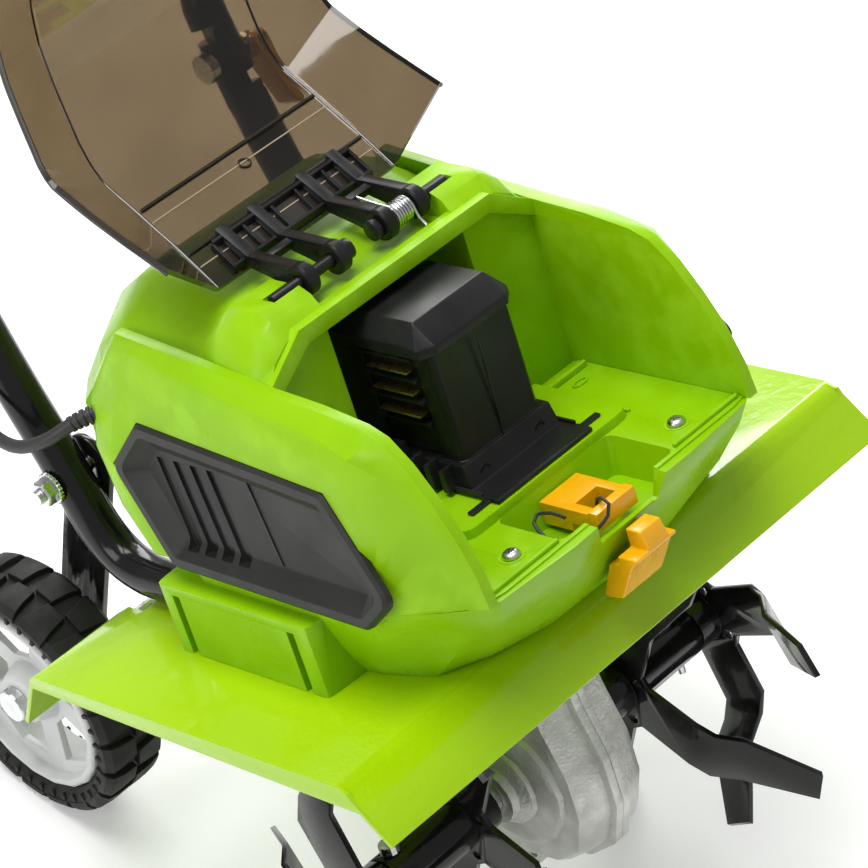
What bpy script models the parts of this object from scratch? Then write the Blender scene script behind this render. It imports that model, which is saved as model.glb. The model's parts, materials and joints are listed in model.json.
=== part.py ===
"""Mini cultivator: a battery powered tiller with a two-part folding handle.

Every sub-part is drawn in millimetres in the deck's own frame: X to the machine's left-right,
+Y to the rear, +Z up from the battery bay floor.  One empty then pitches the whole machine so
that its wheels and tines stand on the floor, and sets the origin under the middle of its box.
"""
import bpy
import bmesh
from math import atan2, cos, hypot, pi, radians, sin
from mathutils import Vector

# ---------------------------------------------------------------- driving dimensions (mm, degrees)
MM = 0.001
GAP = 0.3                        # air between neighbouring solids
PITCH = 21.84                    # nose-up angle of the deck when the machine stands
GROUND = -318.2                  # floor level below the battery bay floor, after pitching

DECK_TOP = -51.0
DECK_SHEET = 2.5
DECK_HALF = 176.0
DECK_FLANGE = 8.0                # depth of the folded side edges
REAR_NOTCH_HALF = 112.0
REAR_NOTCH_Y = 226.0

BAY_HALF = 88.0                  # inside half width of the battery bay
BAY_REAR = 92.0
BAY_FLOOR = 0.0
PLATFORM_TOP = 5.0
POCKET_HALF = 46.0
POCKET_REAR = 128.0
WALL = 3.0                       # moulded wall thickness

HINGE_Y, HINGE_Z = 112.0, 114.0  # lid hinge axis
LID_OPEN = 158.0                 # the lid stands open at this angle
LID_SKIN = 2.4

TUBE_R = 11.0                    # 22 mm handle tube
TUBE_WALL = 1.6
TUBE_X = 99.0
FOLD_Y, FOLD_Z = 306.0, 138.0    # handle fold axis
HANDLE_ANGLE = 77.0              # rise of the handle tubes above the deck plane
HANDLE_LENGTH = 740.0
HANDLE_HALF = 128.0
LAP_BACK = 11.0                  # half-lap: how far each tube end passes the fold axis
LAP_CLEAR = 19.0                 # half-lap: where the full tube starts

AXLE_Y, AXLE_Z = 346.8, -127.3
AXLE_R = 5.0
WHEEL_R = 71.0
RIM_R = 56.0
WHEEL_OUT = 132.0                # outer face of the wheel
WHEEL_IN = 92.0
SWING_Y, SWING_Z = 267.0, 12.0   # pivot of the wheel brackets
BRACKET_X = 83.2
BRACKET_T = 4.0
BRACKET_W = 31.0

TINE_Y, TINE_Z = 103.0, -181.5
TINE_SHAFT_R = 9.0
TINE_HUB_R = 14.0
TINE_PLATE = 3.2
TINE_INNER_X = 60.0
TINE_OUTER_X = 128.0
WORM_Y = 158.0
WORM_R = 9.0
WHEEL_GEAR_R = 44.0
MOTOR_R = 26.0

# ---------------------------------------------------------------- materials
# name: (red, green, blue, alpha, metallic, roughness)
FINISHES = {
    "lime_plastic": (0.36, 0.66, 0.01, 1.0, 0.0, 0.28),
    "lime_paint": (0.38, 0.70, 0.01, 1.0, 0.0, 0.20),
    "black_plastic": (0.02, 0.02, 0.022, 1.0, 0.0, 0.35),
    "grey_plastic": (0.62, 0.63, 0.64, 1.0, 0.0, 0.45),
    "amber_plastic": (0.95, 0.47, 0.02, 1.0, 0.0, 0.30),
    "smoke_clear": (0.12, 0.09, 0.06, 0.45, 0.0, 0.05),
    "black_paint": (0.012, 0.012, 0.012, 1.0, 0.2, 0.18),
    "cast_aluminium": (0.52, 0.52, 0.50, 1.0, 0.9, 0.55),
    "zinc_steel": (0.70, 0.71, 0.72, 1.0, 1.0, 0.25),
    "brass": (0.62, 0.48, 0.22, 1.0, 1.0, 0.30),
    "tyre_rubber": (0.018, 0.018, 0.018, 1.0, 0.0, 0.75),
    "foam_rubber": (0.03, 0.03, 0.03, 1.0, 0.0, 0.85),
    "cord_rubber": (0.02, 0.02, 0.02, 1.0, 0.0, 0.5),
}


def clear_scene():
    """Remove every object, so the model starts from nothing."""
    for obj in list(bpy.data.objects):
        bpy.data.objects.remove(obj, do_unlink=True)


def finish(name):
    """One Principled material for each finish."""
    found = bpy.data.materials.get(name)
    if found:
        return found
    red, green, blue, alpha, metallic, roughness = FINISHES[name]
    material = bpy.data.materials.new(name)
    material.use_nodes = True
    shader = material.node_tree.nodes["Principled BSDF"]
    shader.inputs["Base Color"].default_value = (red, green, blue, 1.0)
    shader.inputs["Alpha"].default_value = alpha
    shader.inputs["Metallic"].default_value = metallic
    shader.inputs["Roughness"].default_value = roughness
    material.diffuse_color = (red, green, blue, alpha)
    return material


# ---------------------------------------------------------------- mesh tools
def split_bent_faces(work):
    """Cut every face that isn't flat into triangles, so that Booleans read one clear surface."""
    work.normal_update()
    bent = []
    for face in work.faces:
        corner = face.verts[0].co
        if any(abs((vert.co - corner).dot(face.normal)) > 1e-7 for vert in face.verts[1:]):
            bent.append(face)
    if bent:
        bmesh.ops.triangulate(work, faces=bent)


def make(name, points, faces, slot, parent, at=(0, 0, 0), sharp=30):
    """One object from points in millimetres; at is its own origin in the same frame."""
    mesh = bpy.data.meshes.new(name)
    work = bmesh.new()
    corner = Vector(at)
    verts = [work.verts.new((Vector(point) - corner) * MM) for point in points]
    for face in faces:
        work.faces.new([verts[index] for index in face])
    split_bent_faces(work)
    bmesh.ops.recalc_face_normals(work, faces=work.faces)
    if work.calc_volume(signed=True) < 0:
        bmesh.ops.reverse_faces(work, faces=work.faces)
    work.to_mesh(mesh)
    work.free()
    mesh.shade_smooth()
    mesh.set_sharp_from_angle(angle=radians(sharp))
    obj = bpy.data.objects.new(name, mesh)
    bpy.context.scene.collection.objects.link(obj)
    obj.location = corner * MM
    obj.parent = parent
    mesh.materials.append(finish(slot))
    return obj


def loft(rings, capped=True):
    """Points and faces of a solid through closed rings with the same number of points."""
    count = len(rings[0])
    points = [point for ring in rings for point in ring]
    faces = []
    for level in range(len(rings) - 1):
        low, high = level * count, (level + 1) * count
        for i in range(count):
            j = (i + 1) % count
            faces.append((low + i, low + j, high + j, high + i))
    if capped:
        faces.append(tuple(reversed(range(count))))
        last = (len(rings) - 1) * count
        faces.append(tuple(range(last, last + count)))
    else:
        last = (len(rings) - 1) * count
        for i in range(count):
            j = (i + 1) % count
            faces.append((last + i, last + j, j, i))
    return points, faces


def along_x(outline, *stations):
    """A YZ outline carried to each X station."""
    return loft([[(x, y, z) for y, z in outline] for x in stations])


def along_y(outline, *stations):
    """An XZ outline carried to each Y station."""
    return loft([[(x, y, z) for x, z in outline] for y in stations])


def along_z(outline, *stations):
    """An XY outline carried to each Z station."""
    return loft([[(x, y, z) for x, y in outline] for z in stations])


def rounded(outline, radius, steps=3):
    """A closed outline with each corner turned into a short arc."""
    result = []
    count = len(outline)
    radii = radius if isinstance(radius, (list, tuple)) else [radius] * count
    for i, (x, y) in enumerate(outline):
        if radii[i] <= 0:
            result.append((x, y))
            continue
        here = Vector((x, y))
        back = Vector(outline[i - 1]) - here
        ahead = Vector(outline[(i + 1) % count]) - here
        half = back.angle(ahead) / 2
        reach = min(radii[i] / abs(sin(half) / cos(half)), back.length * 0.49, ahead.length * 0.49)
        start = here + back.normalized() * reach
        end = here + ahead.normalized() * reach
        for step in range(steps + 1):
            t = step / steps
            point = start * (1 - t) ** 2 + here * 2 * t * (1 - t) + end * t * t
            result.append((point.x, point.y))
    return result


def circle(cx, cy, radius, sides):
    return [(cx + radius * cos(2 * pi * i / sides), cy + radius * sin(2 * pi * i / sides))
            for i in range(sides)]


def box(x0, x1, y0, y1, z0, z1):
    return along_z([(x0, y0), (x1, y0), (x1, y1), (x0, y1)], z0, z1)


def turned(profile, sides, y, z, side=1, closed=True):
    """A turned solid about an X axis through (y, z); profile holds (radius, x) pairs.
    A closed profile is a ring; an open one starts and ends on flat capped discs."""
    rings = []
    for radius, x in profile:
        rings.append([(side * x, py, pz) for py, pz in circle(y, z, radius, sides)])
    return loft(rings, capped=not closed)


def upright(profile, sides, x, y, closed=False):
    """A turned solid about a Z axis through (x, y); profile holds (radius, z) pairs."""
    rings = [[(px, py, z) for px, py in circle(x, y, radius, sides)] for radius, z in profile]
    return loft(rings, capped=not closed)


def smooth_path(points, spacing):
    """Points about every spacing along a smooth curve through the route's own points."""
    route = [Vector(point) for point in points]
    full = [route[0] * 2 - route[1]] + route + [route[-1] * 2 - route[-2]]
    result = []
    for i in range(1, len(full) - 2):
        a, b, c, d = full[i - 1:i + 3]
        count = max(1, round((c - b).length / spacing))
        for step in range(count):
            t = step / count
            result.append(0.5 * (b * 2 + (c - a) * t + (a * 2 - b * 5 + c * 4 - d) * t * t
                                 + (b * 3 - a - c * 3 + d) * t ** 3))
    result.append(route[-1])
    return result


def frames(path):
    """A direction and two cross directions at each point, without twist."""
    result = []
    cross = None
    for i, point in enumerate(path):
        ahead = path[min(i + 1, len(path) - 1)] - path[max(i - 1, 0)]
        ahead.normalize()
        if cross is None:
            seed = Vector((1, 0, 0)) if abs(ahead.x) < 0.9 else Vector((0, 1, 0))
            cross = seed - ahead * seed.dot(ahead)
        cross = cross - ahead * cross.dot(ahead)
        cross.normalize()
        result.append((point, cross.copy(), ahead.cross(cross)))
    return result


def pipe(path, radius, sides, bore=0.0):
    """A round tube along a path, open right through when it has a bore."""
    places = frames([Vector(point) for point in path])
    def ring(place, reach):
        centre, one, two = place
        return [centre + one * reach * cos(2 * pi * i / sides) + two * reach * sin(2 * pi * i / sides)
                for i in range(sides)]
    outer = [ring(place, radius) for place in places]
    if not bore:
        return loft(outer)
    inner = [ring(place, bore) for place in reversed(places)]
    return loft(outer + inner, capped=False)


def tool(name, shape, parent):
    """A cutter or an addition, kept out of the model itself."""
    obj = make(name, shape[0], shape[1], "zinc_steel", parent)
    obj.hide_render = True
    obj.display_type = "WIRE"
    return obj


def combine(target, other, operation):
    modifier = target.modifiers.new(operation.lower() + "_" + other.name, "BOOLEAN")
    modifier.operation = operation
    modifier.solver = "EXACT"
    modifier.object = other


def cut(target, name, shape, parent):
    combine(target, tool(target.name + "_" + name, shape, parent), "DIFFERENCE")


def add(target, name, shape, parent):
    combine(target, tool(target.name + "_" + name, shape, parent), "UNION")


def mirrored(half):
    """A closed outline from its +X half, which starts and ends on the middle line."""
    middle = 0.001
    left = [(-x, y) for x, y in reversed(half) if x > middle]
    return list(half) + left


# ---------------------------------------------------------------- deck
def build_deck(root):
    """Folded sheet-steel deck with front and rear lips and short side flanges."""
    low = DECK_TOP - DECK_SHEET
    profile = [(-9, -76), (13, -53.6), (20, DECK_TOP), (237, DECK_TOP), (242, -53.4), (262, -84),
               (259.9, -85.4), (240, -55.2), (236, low), (20.8, low), (14.8, -55.5), (-7.2, -77.8)]
    deck = make("deck_panel", *along_x(profile, -DECK_HALF, DECK_HALF), "lime_paint", root)
    for side, label in ((-1, "left"), (1, "right")):
        inner, outer = side * (DECK_HALF - DECK_SHEET), side * DECK_HALF
        flange = [(12, DECK_TOP - 2.2), (20, DECK_TOP - 0.2), (237, DECK_TOP - 0.2), (243, -56),
                  (243, DECK_TOP - DECK_FLANGE), (6, DECK_TOP - DECK_FLANGE - 4)]
        add(deck, label + "_flange", along_x(flange, min(inner, outer), max(inner, outer)), root)
    cut(deck, "rear_notch", box(-REAR_NOTCH_HALF, REAR_NOTCH_HALF, REAR_NOTCH_Y, 300, -120, 0), root)
    cut(deck, "motor_hole", upright([(15, -70), (15, -40)], 24, 0, WORM_Y), root)
    return deck


# ---------------------------------------------------------------- housing
def side_x(z):
    """Half width of the housing's side face at height z: it leans out towards the bottom."""
    return 102 + (87 - z) * 0.227


SIDE_NORMAL = (0.975, 0.221)


def on_side(side, y, z, depth):
    """A point above the side face at (y, z), depth out along the face's normal."""
    return (side * (side_x(z) + depth * SIDE_NORMAL[0]), y, z + depth * SIDE_NORMAL[1])


VENT = [(179, 65), (50, 55), (12, 11), (30, -5), (165, -3), (202, 41)]

# wall outline, from the bottom rear round the top to the front: rim edge and ridge edge
RIM = [(184, -0.7), (206, 20), (221, 47), (220, 75), (192, 104), (150, 99), (92, 90.5), (57, 87.5),
       (29, 83), (18, 78.5), (7, 67), (-3, 51.5), (-12, 34), (-18, 15), (-20, -0.7), (17.9, -0.7)]
RIDGE = [(182, -0.7), (202, 20), (215, 47), (213, 72), (187, 99), (150, 94), (92, 86), (57, 82.5),
         (27, 76), (18, 72.5), (11, 63), (2, 46), (-4, 31), (-8, 13), (-9.4, -0.7), (26.2, -0.7)]
NOSE_TOP, NOSE_FOOT = 8, 15     # the points of both outlines where the nose corner bends


def inset(outline, amount):
    """A closed outline moved inwards by amount."""
    count = len(outline)
    area = sum(outline[i - 1][0] * outline[i][1] - outline[i][0] * outline[i - 1][1]
               for i in range(count))
    turn = 1 if area > 0 else -1
    result = []
    for i in range(count):
        here = Vector(outline[i])
        back = (here - Vector(outline[i - 1])).normalized()
        ahead = (Vector(outline[(i + 1) % count]) - here).normalized()
        one = Vector((-back.y, back.x)) * turn
        two = Vector((-ahead.y, ahead.x)) * turn
        middle = (one + two).normalized()
        result.append(tuple(here + middle * amount / max(0.35, middle.dot(one))))
    return result


def towards(outline, share, centre=(110, 30)):
    """A closed outline drawn towards an inner point, which keeps it free of crossings."""
    cy, cz = centre
    return [(y + (cy - y) * share, z + (cz - z) * share) for y, z in outline]


def fairing_reach(y, z):
    """Half width of a fairing: the leaning side face, drawn in round the nose corner."""
    nose = max(0.0, (30 - y) / 40) * 24
    return max(side_x(z) - nose, 99.0)


def fairing(side):
    """One side of the cowl: bay wall, rim, ridge, and the leaning outer face with its nose."""
    inner = [(side * BAY_HALF, y, z) for y, z in RIM]
    rim = [(side * 93.5, y, z) for y, z in RIM]
    ridge = [(side * (fairing_reach(y, z) - 1.2), y, z) for y, z in RIDGE]
    face = [(side * fairing_reach(y, z), y, z) for y, z in towards(RIDGE, 0.045)]
    points, faces = loft([inner, rim, ridge, face])
    faces.pop()
    first = 3 * len(RIDGE)
    faces.append([first + NOSE_FOOT] + [first + i for i in range(NOSE_TOP + 1)])
    faces.append([first + i for i in range(NOSE_TOP, NOSE_FOOT + 1)])
    return points, faces


def dome_profile(shrink=0.0):
    """Outline of the dome in YZ, from the collar over the top to the rear foot."""
    top = [(94, 106), (100, 105), (105, 102.5), (125, 102.5), (149, 106.5), (172, 113), (195, 117),
           (206, 115),
           (226, 103), (248, 74), (250, 44), (238, 2), (214, -36), (210, -49.7)]
    front = [(180, -49.7), (180, -0.7), (94, -0.7)]
    outline = top + front
    return inset(outline, shrink) if shrink else outline


def dome_block(shrink=0.0, front=0.0):
    """The dome: its YZ outline carried across X, with sides drawn in towards the top."""
    outline = dome_profile(shrink)
    stations = []
    for x, drop, pull in ((-92, 27, 8), (-84, 16, 4), (-60, 1.0, 0.5), (-52, 0, 0),
                          (52, 0, 0), (60, 1.0, 0.5), (84, 16, 4), (92, 27, 8)):
        x = x * (1 - shrink / 92)
        ring = []
        for y, z in outline:
            share = min(1.0, max(0.0, (z - 20) / 80))
            rear = min(1.0, max(0.0, (y - 150) / 60))
            ring.append((x, y - pull * rear, z - drop * share))
        stations.append(ring)
    return loft(stations)


def collar_outline(grow):
    """XZ outline of the bay's rear frame."""
    return [(-88.5 - grow, 0), (-88.5 - grow, 80.6 + grow * 0.4), (-61 - grow * 0.4, 97.6 + grow),
            (61 + grow * 0.4, 97.6 + grow), (88.5 + grow, 80.6 + grow * 0.4), (88.5 + grow, 0)]


def hinge_boss(side):
    """Raised block beside the lid hinge, with a sloped front."""
    outline = [(93, 70), (94, 103), (101, 112), (108, 115.5), (128, 115.5), (142, 106), (142, 70)]
    rings = []
    for x, drop in ((44, 0.0), (70, 0.0), (80, 8.0), (89, 24.0)):
        rings.append([(side * x, y, z - drop * (z - 70) / 45) for y, z in outline])
    return loft(rings)


def vent_hole(side):
    """The way through the side wall behind a vent panel."""
    opening = inset(VENT, 5)
    return loft([[on_side(side, y, z, depth) for y, z in opening] for depth in (-16, 12)])


def vent_seat(side):
    """The shallow seat that a vent panel's rim lies in."""
    outline = inset(VENT, -GAP)
    return loft([[on_side(side, y, z, depth) for y, z in outline] for depth in (-3.0, 14)])


def build_cowl(root):
    """Upper cowl: side fairings, dome, bay frame and hinge bosses, hollow inside."""
    outline = dome_block()
    cowl = make("upper_cowl", *outline, "lime_plastic", root)
    add(cowl, "left_fairing", fairing(-1), root)
    add(cowl, "right_fairing", fairing(1), root)
    frame = [(x, z) for x, z in collar_outline(8.5)]
    add(cowl, "bay_frame", along_y(frame, BAY_REAR - 1.5, BAY_REAR + 8), root)
    add(cowl, "left_boss", hinge_boss(-1), root)
    add(cowl, "right_boss", hinge_boss(1), root)
    for side, label in ((-1, "left"), (1, "right")):
        pin = turned([(4.6, 30), (4.6, 60)], 12, HINGE_Y, HINGE_Z, side, closed=False)
        cut(cowl, label + "_pin_bore", pin, root)
    # the bay itself, open to the front and the top
    mouth = [(x, z) for x, z in collar_outline(0.0)]
    mouth[0] = (-BAY_HALF, -6)
    mouth[-1] = (BAY_HALF, -6)
    mouth[1] = (-BAY_HALF, 81.3)
    mouth[-2] = (BAY_HALF, 81.3)
    cut(cowl, "bay", along_y(mouth, -40, BAY_REAR + 3), root)
    pocket = [(-POCKET_HALF, -6), (POCKET_HALF, -6), (POCKET_HALF, 97.6), (-POCKET_HALF, 97.6)]
    cut(cowl, "pocket", along_y(pocket, BAY_REAR, POCKET_REAR), root)
    # the hollow behind the bay, which leaves the pocket's own walls
    hollow = tool("upper_cowl_hollow", dome_block(WALL), root)
    keep = [(-POCKET_HALF - WALL, -60), (POCKET_HALF + WALL, -60),
            (POCKET_HALF + WALL, 140), (-POCKET_HALF - WALL, 140)]
    block = tool("upper_cowl_pocket_walls", along_y(keep, 60, POCKET_REAR + WALL), root)
    combine(hollow, block, "DIFFERENCE")
    combine(cowl, hollow, "DIFFERENCE")
    cut(cowl, "foot", box(-80, 80, POCKET_REAR + WALL + 0.4, 206, -60, 30), root)
    cut(cowl, "tub_room", box(-130, 130, 60, 176 + GAP, -60, -0.7), root)
    for side, label in ((-1, "left"), (1, "right")):
        inner = [(side * (BAY_HALF + WALL), y, z) for y, z in towards(RIDGE, 0.14)]
        outer = [(side * (fairing_reach(y, z) - 5), y, z) for y, z in towards(RIDGE, 0.26)]
        cut(cowl, label + "_side_void", loft([inner, outer]), root)
        cut(cowl, label + "_vent_hole", vent_hole(side), root)
        cut(cowl, label + "_vent_seat", vent_seat(side), root)
        relief = box(min(side * 80, side * 113), max(side * 80, side * 113), 120, 264, -60, 0.3)
        cut(cowl, label + "_tube_way", relief, root)
    cable = pipe([(-80, 196, 62), (-118, 226, 62)], 4.4, 12)
    cut(cowl, "cable_hole", cable, root)
    return cowl


def build_vent(root, side, name):
    """Black hexagonal vent panel: raised rim, dished floor and three slanted slots."""
    levels = [(5.6, -8.8), (5.6, -2.7), (0.0, -2.7), (0.0, 0.6), (1.6, 2.2), (5.5, 2.2), (13.0, -6.0),
              (14.0, -6.4)]
    rings = [[on_side(side, y, z, depth) for y, z in rounded(inset(VENT, amount), 7 - amount * 0.2, 2)]
             for amount, depth in levels]
    vent = make(name, *loft(rings), "black_plastic", root)
    for step in range(3):
        middle = 158 - step * 15
        slot = [(middle - 16, 8), (middle - 9, 8), (middle + 12, 49), (middle + 5, 49)]
        shape = loft([[on_side(side, y, z, -14) for y, z in slot],
                      [on_side(side, y, z, 4) for y, z in slot]])
        cut(vent, "slot_%d" % (step + 1), shape, root)
    return vent


def build_tub(root):
    """Lower tub: bay floor, platform, key recess, nose and sills."""
    low, high = DECK_TOP + GAP, BAY_FLOOR - 1.0
    top = [(0, -22), (40, -23), (86, -19.5), (98.5, -9.4), (118, 28), (120.5, 60), (121, 150),
           (110, 176), (0, 176)]
    foot = [(0, 8), (40, 9), (72, 19), (94, 33), (103, 60), (104, 72), (104, 170), (100, 176), (0, 176)]
    def level(share, z):
        blend = [(a[0] + (b[0] - a[0]) * share, a[1] + (b[1] - a[1]) * share) for a, b in zip(top, foot)]
        return [(x, y, z) for x, y in mirrored(blend)]
    rings = [level(1.0, low), level(0.80, low + 7), level(0.55, low + 17), level(0.16, high - 12),
             level(0.0, high)]
    tub = make("lower_tub", *loft(rings), "lime_plastic", root)
    floor = [(-BAY_HALF + GAP, -16), (-80, -17.5), (80, -17.5), (BAY_HALF - GAP, -16),
             (BAY_HALF - GAP, BAY_REAR - GAP), (-BAY_HALF + GAP, BAY_REAR - GAP)]
    add(tub, "floor", along_z(floor, high - 3, BAY_FLOOR), root)
    pocket = [(-POCKET_HALF + GAP, 60), (POCKET_HALF - GAP, 60), (POCKET_HALF - GAP, POCKET_REAR - GAP),
              (-POCKET_HALF + GAP, POCKET_REAR - GAP)]
    add(tub, "pocket_floor", along_z(pocket, high - 3, BAY_FLOOR), root)
    shelf = rounded([(-57, 28), (57, 28), (57, 91), (-57, 91)], [8, 8, 0, 0], 4)
    add(tub, "platform", along_z(shelf, high - 3, PLATFORM_TOP), root)
    back = [(-POCKET_HALF + GAP, 80), (POCKET_HALF - GAP, 80), (POCKET_HALF - GAP, POCKET_REAR - GAP),
            (-POCKET_HALF + GAP, POCKET_REAR - GAP)]
    add(tub, "platform_back", along_z(back, high - 3, PLATFORM_TOP), root)
    for side, label in ((-1, "left"), (1, "right")):
        sill = rounded([(100, 70), (128, 72), (128, 178), (100, 180)], [0, 3, 3, 0], 2)
        outline = [(side * x, y) for x, y in sill]
        add(tub, label + "_sill", along_z(outline, low, -12), root)
        for start in (82, 164):
            groove = box(min(side * 116, side * 140), max(side * 116, side * 140), start, start + 5,
                         -60, -17)
            cut(tub, label + "_groove_%d" % start, groove, root)
    # hollow underside
    under = inset(mirrored([(0, 16), (60, 22), (90, 40), (99, 66), (100, 170), (0, 170)]), 3)
    cut(tub, "underside", along_z(under, low - 5, -24), root)
    upper = inset(mirrored([(0, 34), (84, 34), (108, 60), (108, 168), (0, 168)]), 3)
    cut(tub, "upper_hollow", along_z(upper, -30, high - 4), root)
    # key recess, its low front lip and the latch seat
    recess = loft([[(x, y, -20.0) for x, y in rounded([(-36, -13), (36, -13), (36, 27), (-36, 27)], 5, 3)],
                   [(x, y, 12.0) for x, y in rounded([(-41, -16), (41, -16), (41, 28.5), (-41, 28.5)],
                                                     5, 3)]])
    cut(tub, "key_recess", recess, root)
    cut(tub, "lip_notch", along_y([(-26, 6), (-20, -13.5), (20, -13.5), (26, 6)], -40, -8), root)
    seat = [(-45, -12.5), (-16.5, -12.5), (-16.5, -28), (-9, -30), (1.5, -51.5), (-45, -60)]
    cut(tub, "latch_seat", along_x(seat, -17, 17), root)
    for side, label in ((-1, "left"), (1, "right")):
        hole = upright([(2.6, -12), (2.6, 8)], 12, side * 57.75, 0)
        cut(tub, label + "_screw_hole", hole, root)
        way = box(min(side * 86, side * 112), max(side * 86, side * 112), 140, 200, -60, -26)
        cut(tub, label + "_tube_way", way, root)
        cut(tub, label + "_vent_seat", vent_seat(side), root)
        cut(tub, label + "_vent_hole", vent_hole(side), root)
    cut(tub, "motor_way", upright([(MOTOR_R + 3, -60), (MOTOR_R + 3, -20)], 24, 0, WORM_Y), root)
    cut(tub, "motor_gap", box(-50, 50, POCKET_REAR + 1, 190, -60, 20), root)
    return tub


def build_receptacle(root):
    """Black battery receptacle: base plate with side tabs, flared foot, post and bevelled cap."""
    floor = PLATFORM_TOP + GAP
    plate = box(-33, 33, 29.5, 124, floor, floor + 2.2)
    part = make("battery_receptacle", *plate, "black_plastic", root)
    for side, label in ((-1, "left"), (1, "right")):
        tab = box(min(side * 30, side * 45), max(side * 30, side * 45), 35, 39, floor, floor + 1.4)
        add(part, label + "_tab", tab, root)
    foot = loft([[(x, y, floor + 1) for x, y in ((-31, 48), (31, 48), (31, 122), (-31, 122))],
                 [(x, y, floor + 14) for x, y in ((-30, 51), (30, 51), (30, 122), (-30, 122))]])
    add(part, "foot", foot, root)
    post = [(-24, 53), (-27, 56), (-27, 66), (-22, 66), (-22, 102), (-27, 102), (-27, 122),
            (27, 122), (27, 102), (22, 102), (22, 66), (27, 66), (27, 56), (24, 53)]
    add(part, "post", along_z(post, floor + 12, 80), root)
    cap = [(50.5, 76), (50.5, 81), (62, 91.5), (122, 91.5), (122, 76)]
    rings = []
    for x, drop, pull in ((-31, 9, 6), (-24, 0, 0), (24, 0, 0), (31, 9, 6)):
        rings.append([(x, y + (pull if y < 70 else 0), z - (drop if z > 85 else 0)) for y, z in cap])
    add(part, "cap", loft(rings), root)
    return part


def build_blades(root):
    """Three brass contact blades on the receptacle's side."""
    for index, z in enumerate((44.0, 56.0, 67.5)):
        blade = box(-31.5, -22 - GAP, 68, 95, z - 0.5, z + 0.5)
        make("contact_blade_%d" % (index + 1), *blade, "brass", root)


def build_floor_screws(root):
    """Pan-head screws in the bay floor, each with a cross recess."""
    for side, label in ((-1, "left"), (1, "right")):
        x = side * 57.75
        profile = [(2.2, -9), (2.2, GAP), (4.6, GAP), (4.4, 1.8), (3.4, 2.8), (1.6, 3.2)]
        screw = make("bay_screw_" + label, *upright(profile, 16, x, 0), "zinc_steel", root)
        cross = box(x - 2.0, x + 2.0, -0.45, 0.45, 1.9, 5)
        cut(screw, "cross_a", cross, root)
        cut(screw, "cross_b", box(x - 0.45, x + 0.45, -2.0, 2.0, 1.9, 5), root)


# ---------------------------------------------------------------- lid
LID_FOLD = [(77.7, 127.9), (54, 120.2), (36, 115.6), (21.5, 111.8), (4, 107.6), (-5, 101), (-12, 92),
            (-17.5, 82), (-27.1, 63.5), (-35.7, 42), (-38.5, 22), (-36.5, 2), (-31.5, -10)]
LID_RIM = [(79.6, 93.6), (60, 92.2), (48.7, 91.4), (27, 89), (6, 85), (1.5, 82), (-2.5, 77),
           (-6, 70), (-13.8, 54.5), (-21, 38), (-25.5, 20), (-28, 3), (-28.5, -8)]


def build_lid(pivot, hinge):
    """Clear battery lid: a bent visor with sloping skirts, thin all over, and two ribs inside."""
    outer = []
    for (fy, fz), (ry, rz) in zip(LID_FOLD, LID_RIM):
        outer.append([(-92.5, ry, rz), (-90, ry, rz + 1.5), (-60, fy, fz), (60, fy, fz),
                      (90, ry, rz + 1.5), (92.5, ry, rz)])
    count = len(outer)
    inner = []
    for i in range(count):
        low, high = max(i - 1, 0), min(i + 1, count - 1)
        row = []
        for j in range(6):
            point = Vector(outer[i][j])
            along = Vector(outer[high][j]) - Vector(outer[low][j])
            left, right = max(j - 1, 0), min(j + 1, 5)
            across = Vector(outer[i][right]) - Vector(outer[i][left])
            normal = across.cross(along).normalized()
            row.append(tuple(point + normal * LID_SKIN))
        inner.append(row)
    points = [p for row in outer for p in row] + [p for row in inner for p in row]
    base = count * 6
    faces = []
    for i in range(count - 1):
        for j in range(5):
            a, b, c, d = i * 6 + j, i * 6 + j + 1, (i + 1) * 6 + j + 1, (i + 1) * 6 + j
            faces.append((a, b, c, d))
            faces.append((base + d, base + c, base + b, base + a))
    for j in range(5):
        faces.append((j, base + j, base + j + 1, j + 1))
        last = (count - 1) * 6 + j
        faces.append((last + 1, base + last + 1, base + last, last))
    for i in range(count - 1):
        a, b = i * 6, (i + 1) * 6
        faces.append((b, base + b, base + a, a))
        a, b = i * 6 + 5, (i + 1) * 6 + 5
        faces.append((a, base + a, base + b, b))
    lid = make("battery_lid", points, faces, "smoke_clear", pivot, hinge, 20)
    return lid


def build_hinge_arms(pivot, hinge):
    """Two pairs of lid arms; each pair is one moulding that turns on its pin."""
    for side, label in ((-1, "left"), (1, "right")):
        outline = []
        for step in range(9):
            angle = radians(-100 + step * 25)
            outline.append((HINGE_Y + 7.5 * cos(angle), HINGE_Z + 7.5 * sin(angle)))
        outline += [(98, 122.0), (80, 124.6), (57, 117.2), (57, 114.4), (78, 118.5), (96, 112.0),
                    (104, 109.0)]
        outer = along_x(outline, min(side * 34, side * 40), max(side * 34, side * 40))
        arm = make("hinge_arm_" + label, *outer, "black_plastic", pivot, hinge)
        inner = along_x(outline, min(side * 13, side * 19), max(side * 13, side * 19))
        add(arm, "inner_arm", inner, pivot)
        tie = box(min(side * 15, side * 38), max(side * 15, side * 38), 83, 87, 117.5, 122)
        add(arm, "tie", tie, pivot)
        bore = turned([(3.3, 5), (3.3, 50)], 16, HINGE_Y, HINGE_Z, side, closed=False)
        cut(arm, "bore", bore, pivot)


def build_hinge_pins(root):
    for side, label in ((-1, "left"), (1, "right")):
        profile = [(5.2, 7.5), (5.2, 11.5), (3.0, 11.5), (3.0, 58)]
        pin = turned(profile, 16, HINGE_Y, HINGE_Z, side, closed=False)
        make("hinge_pin_" + label, *pin, "zinc_steel", root)


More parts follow.
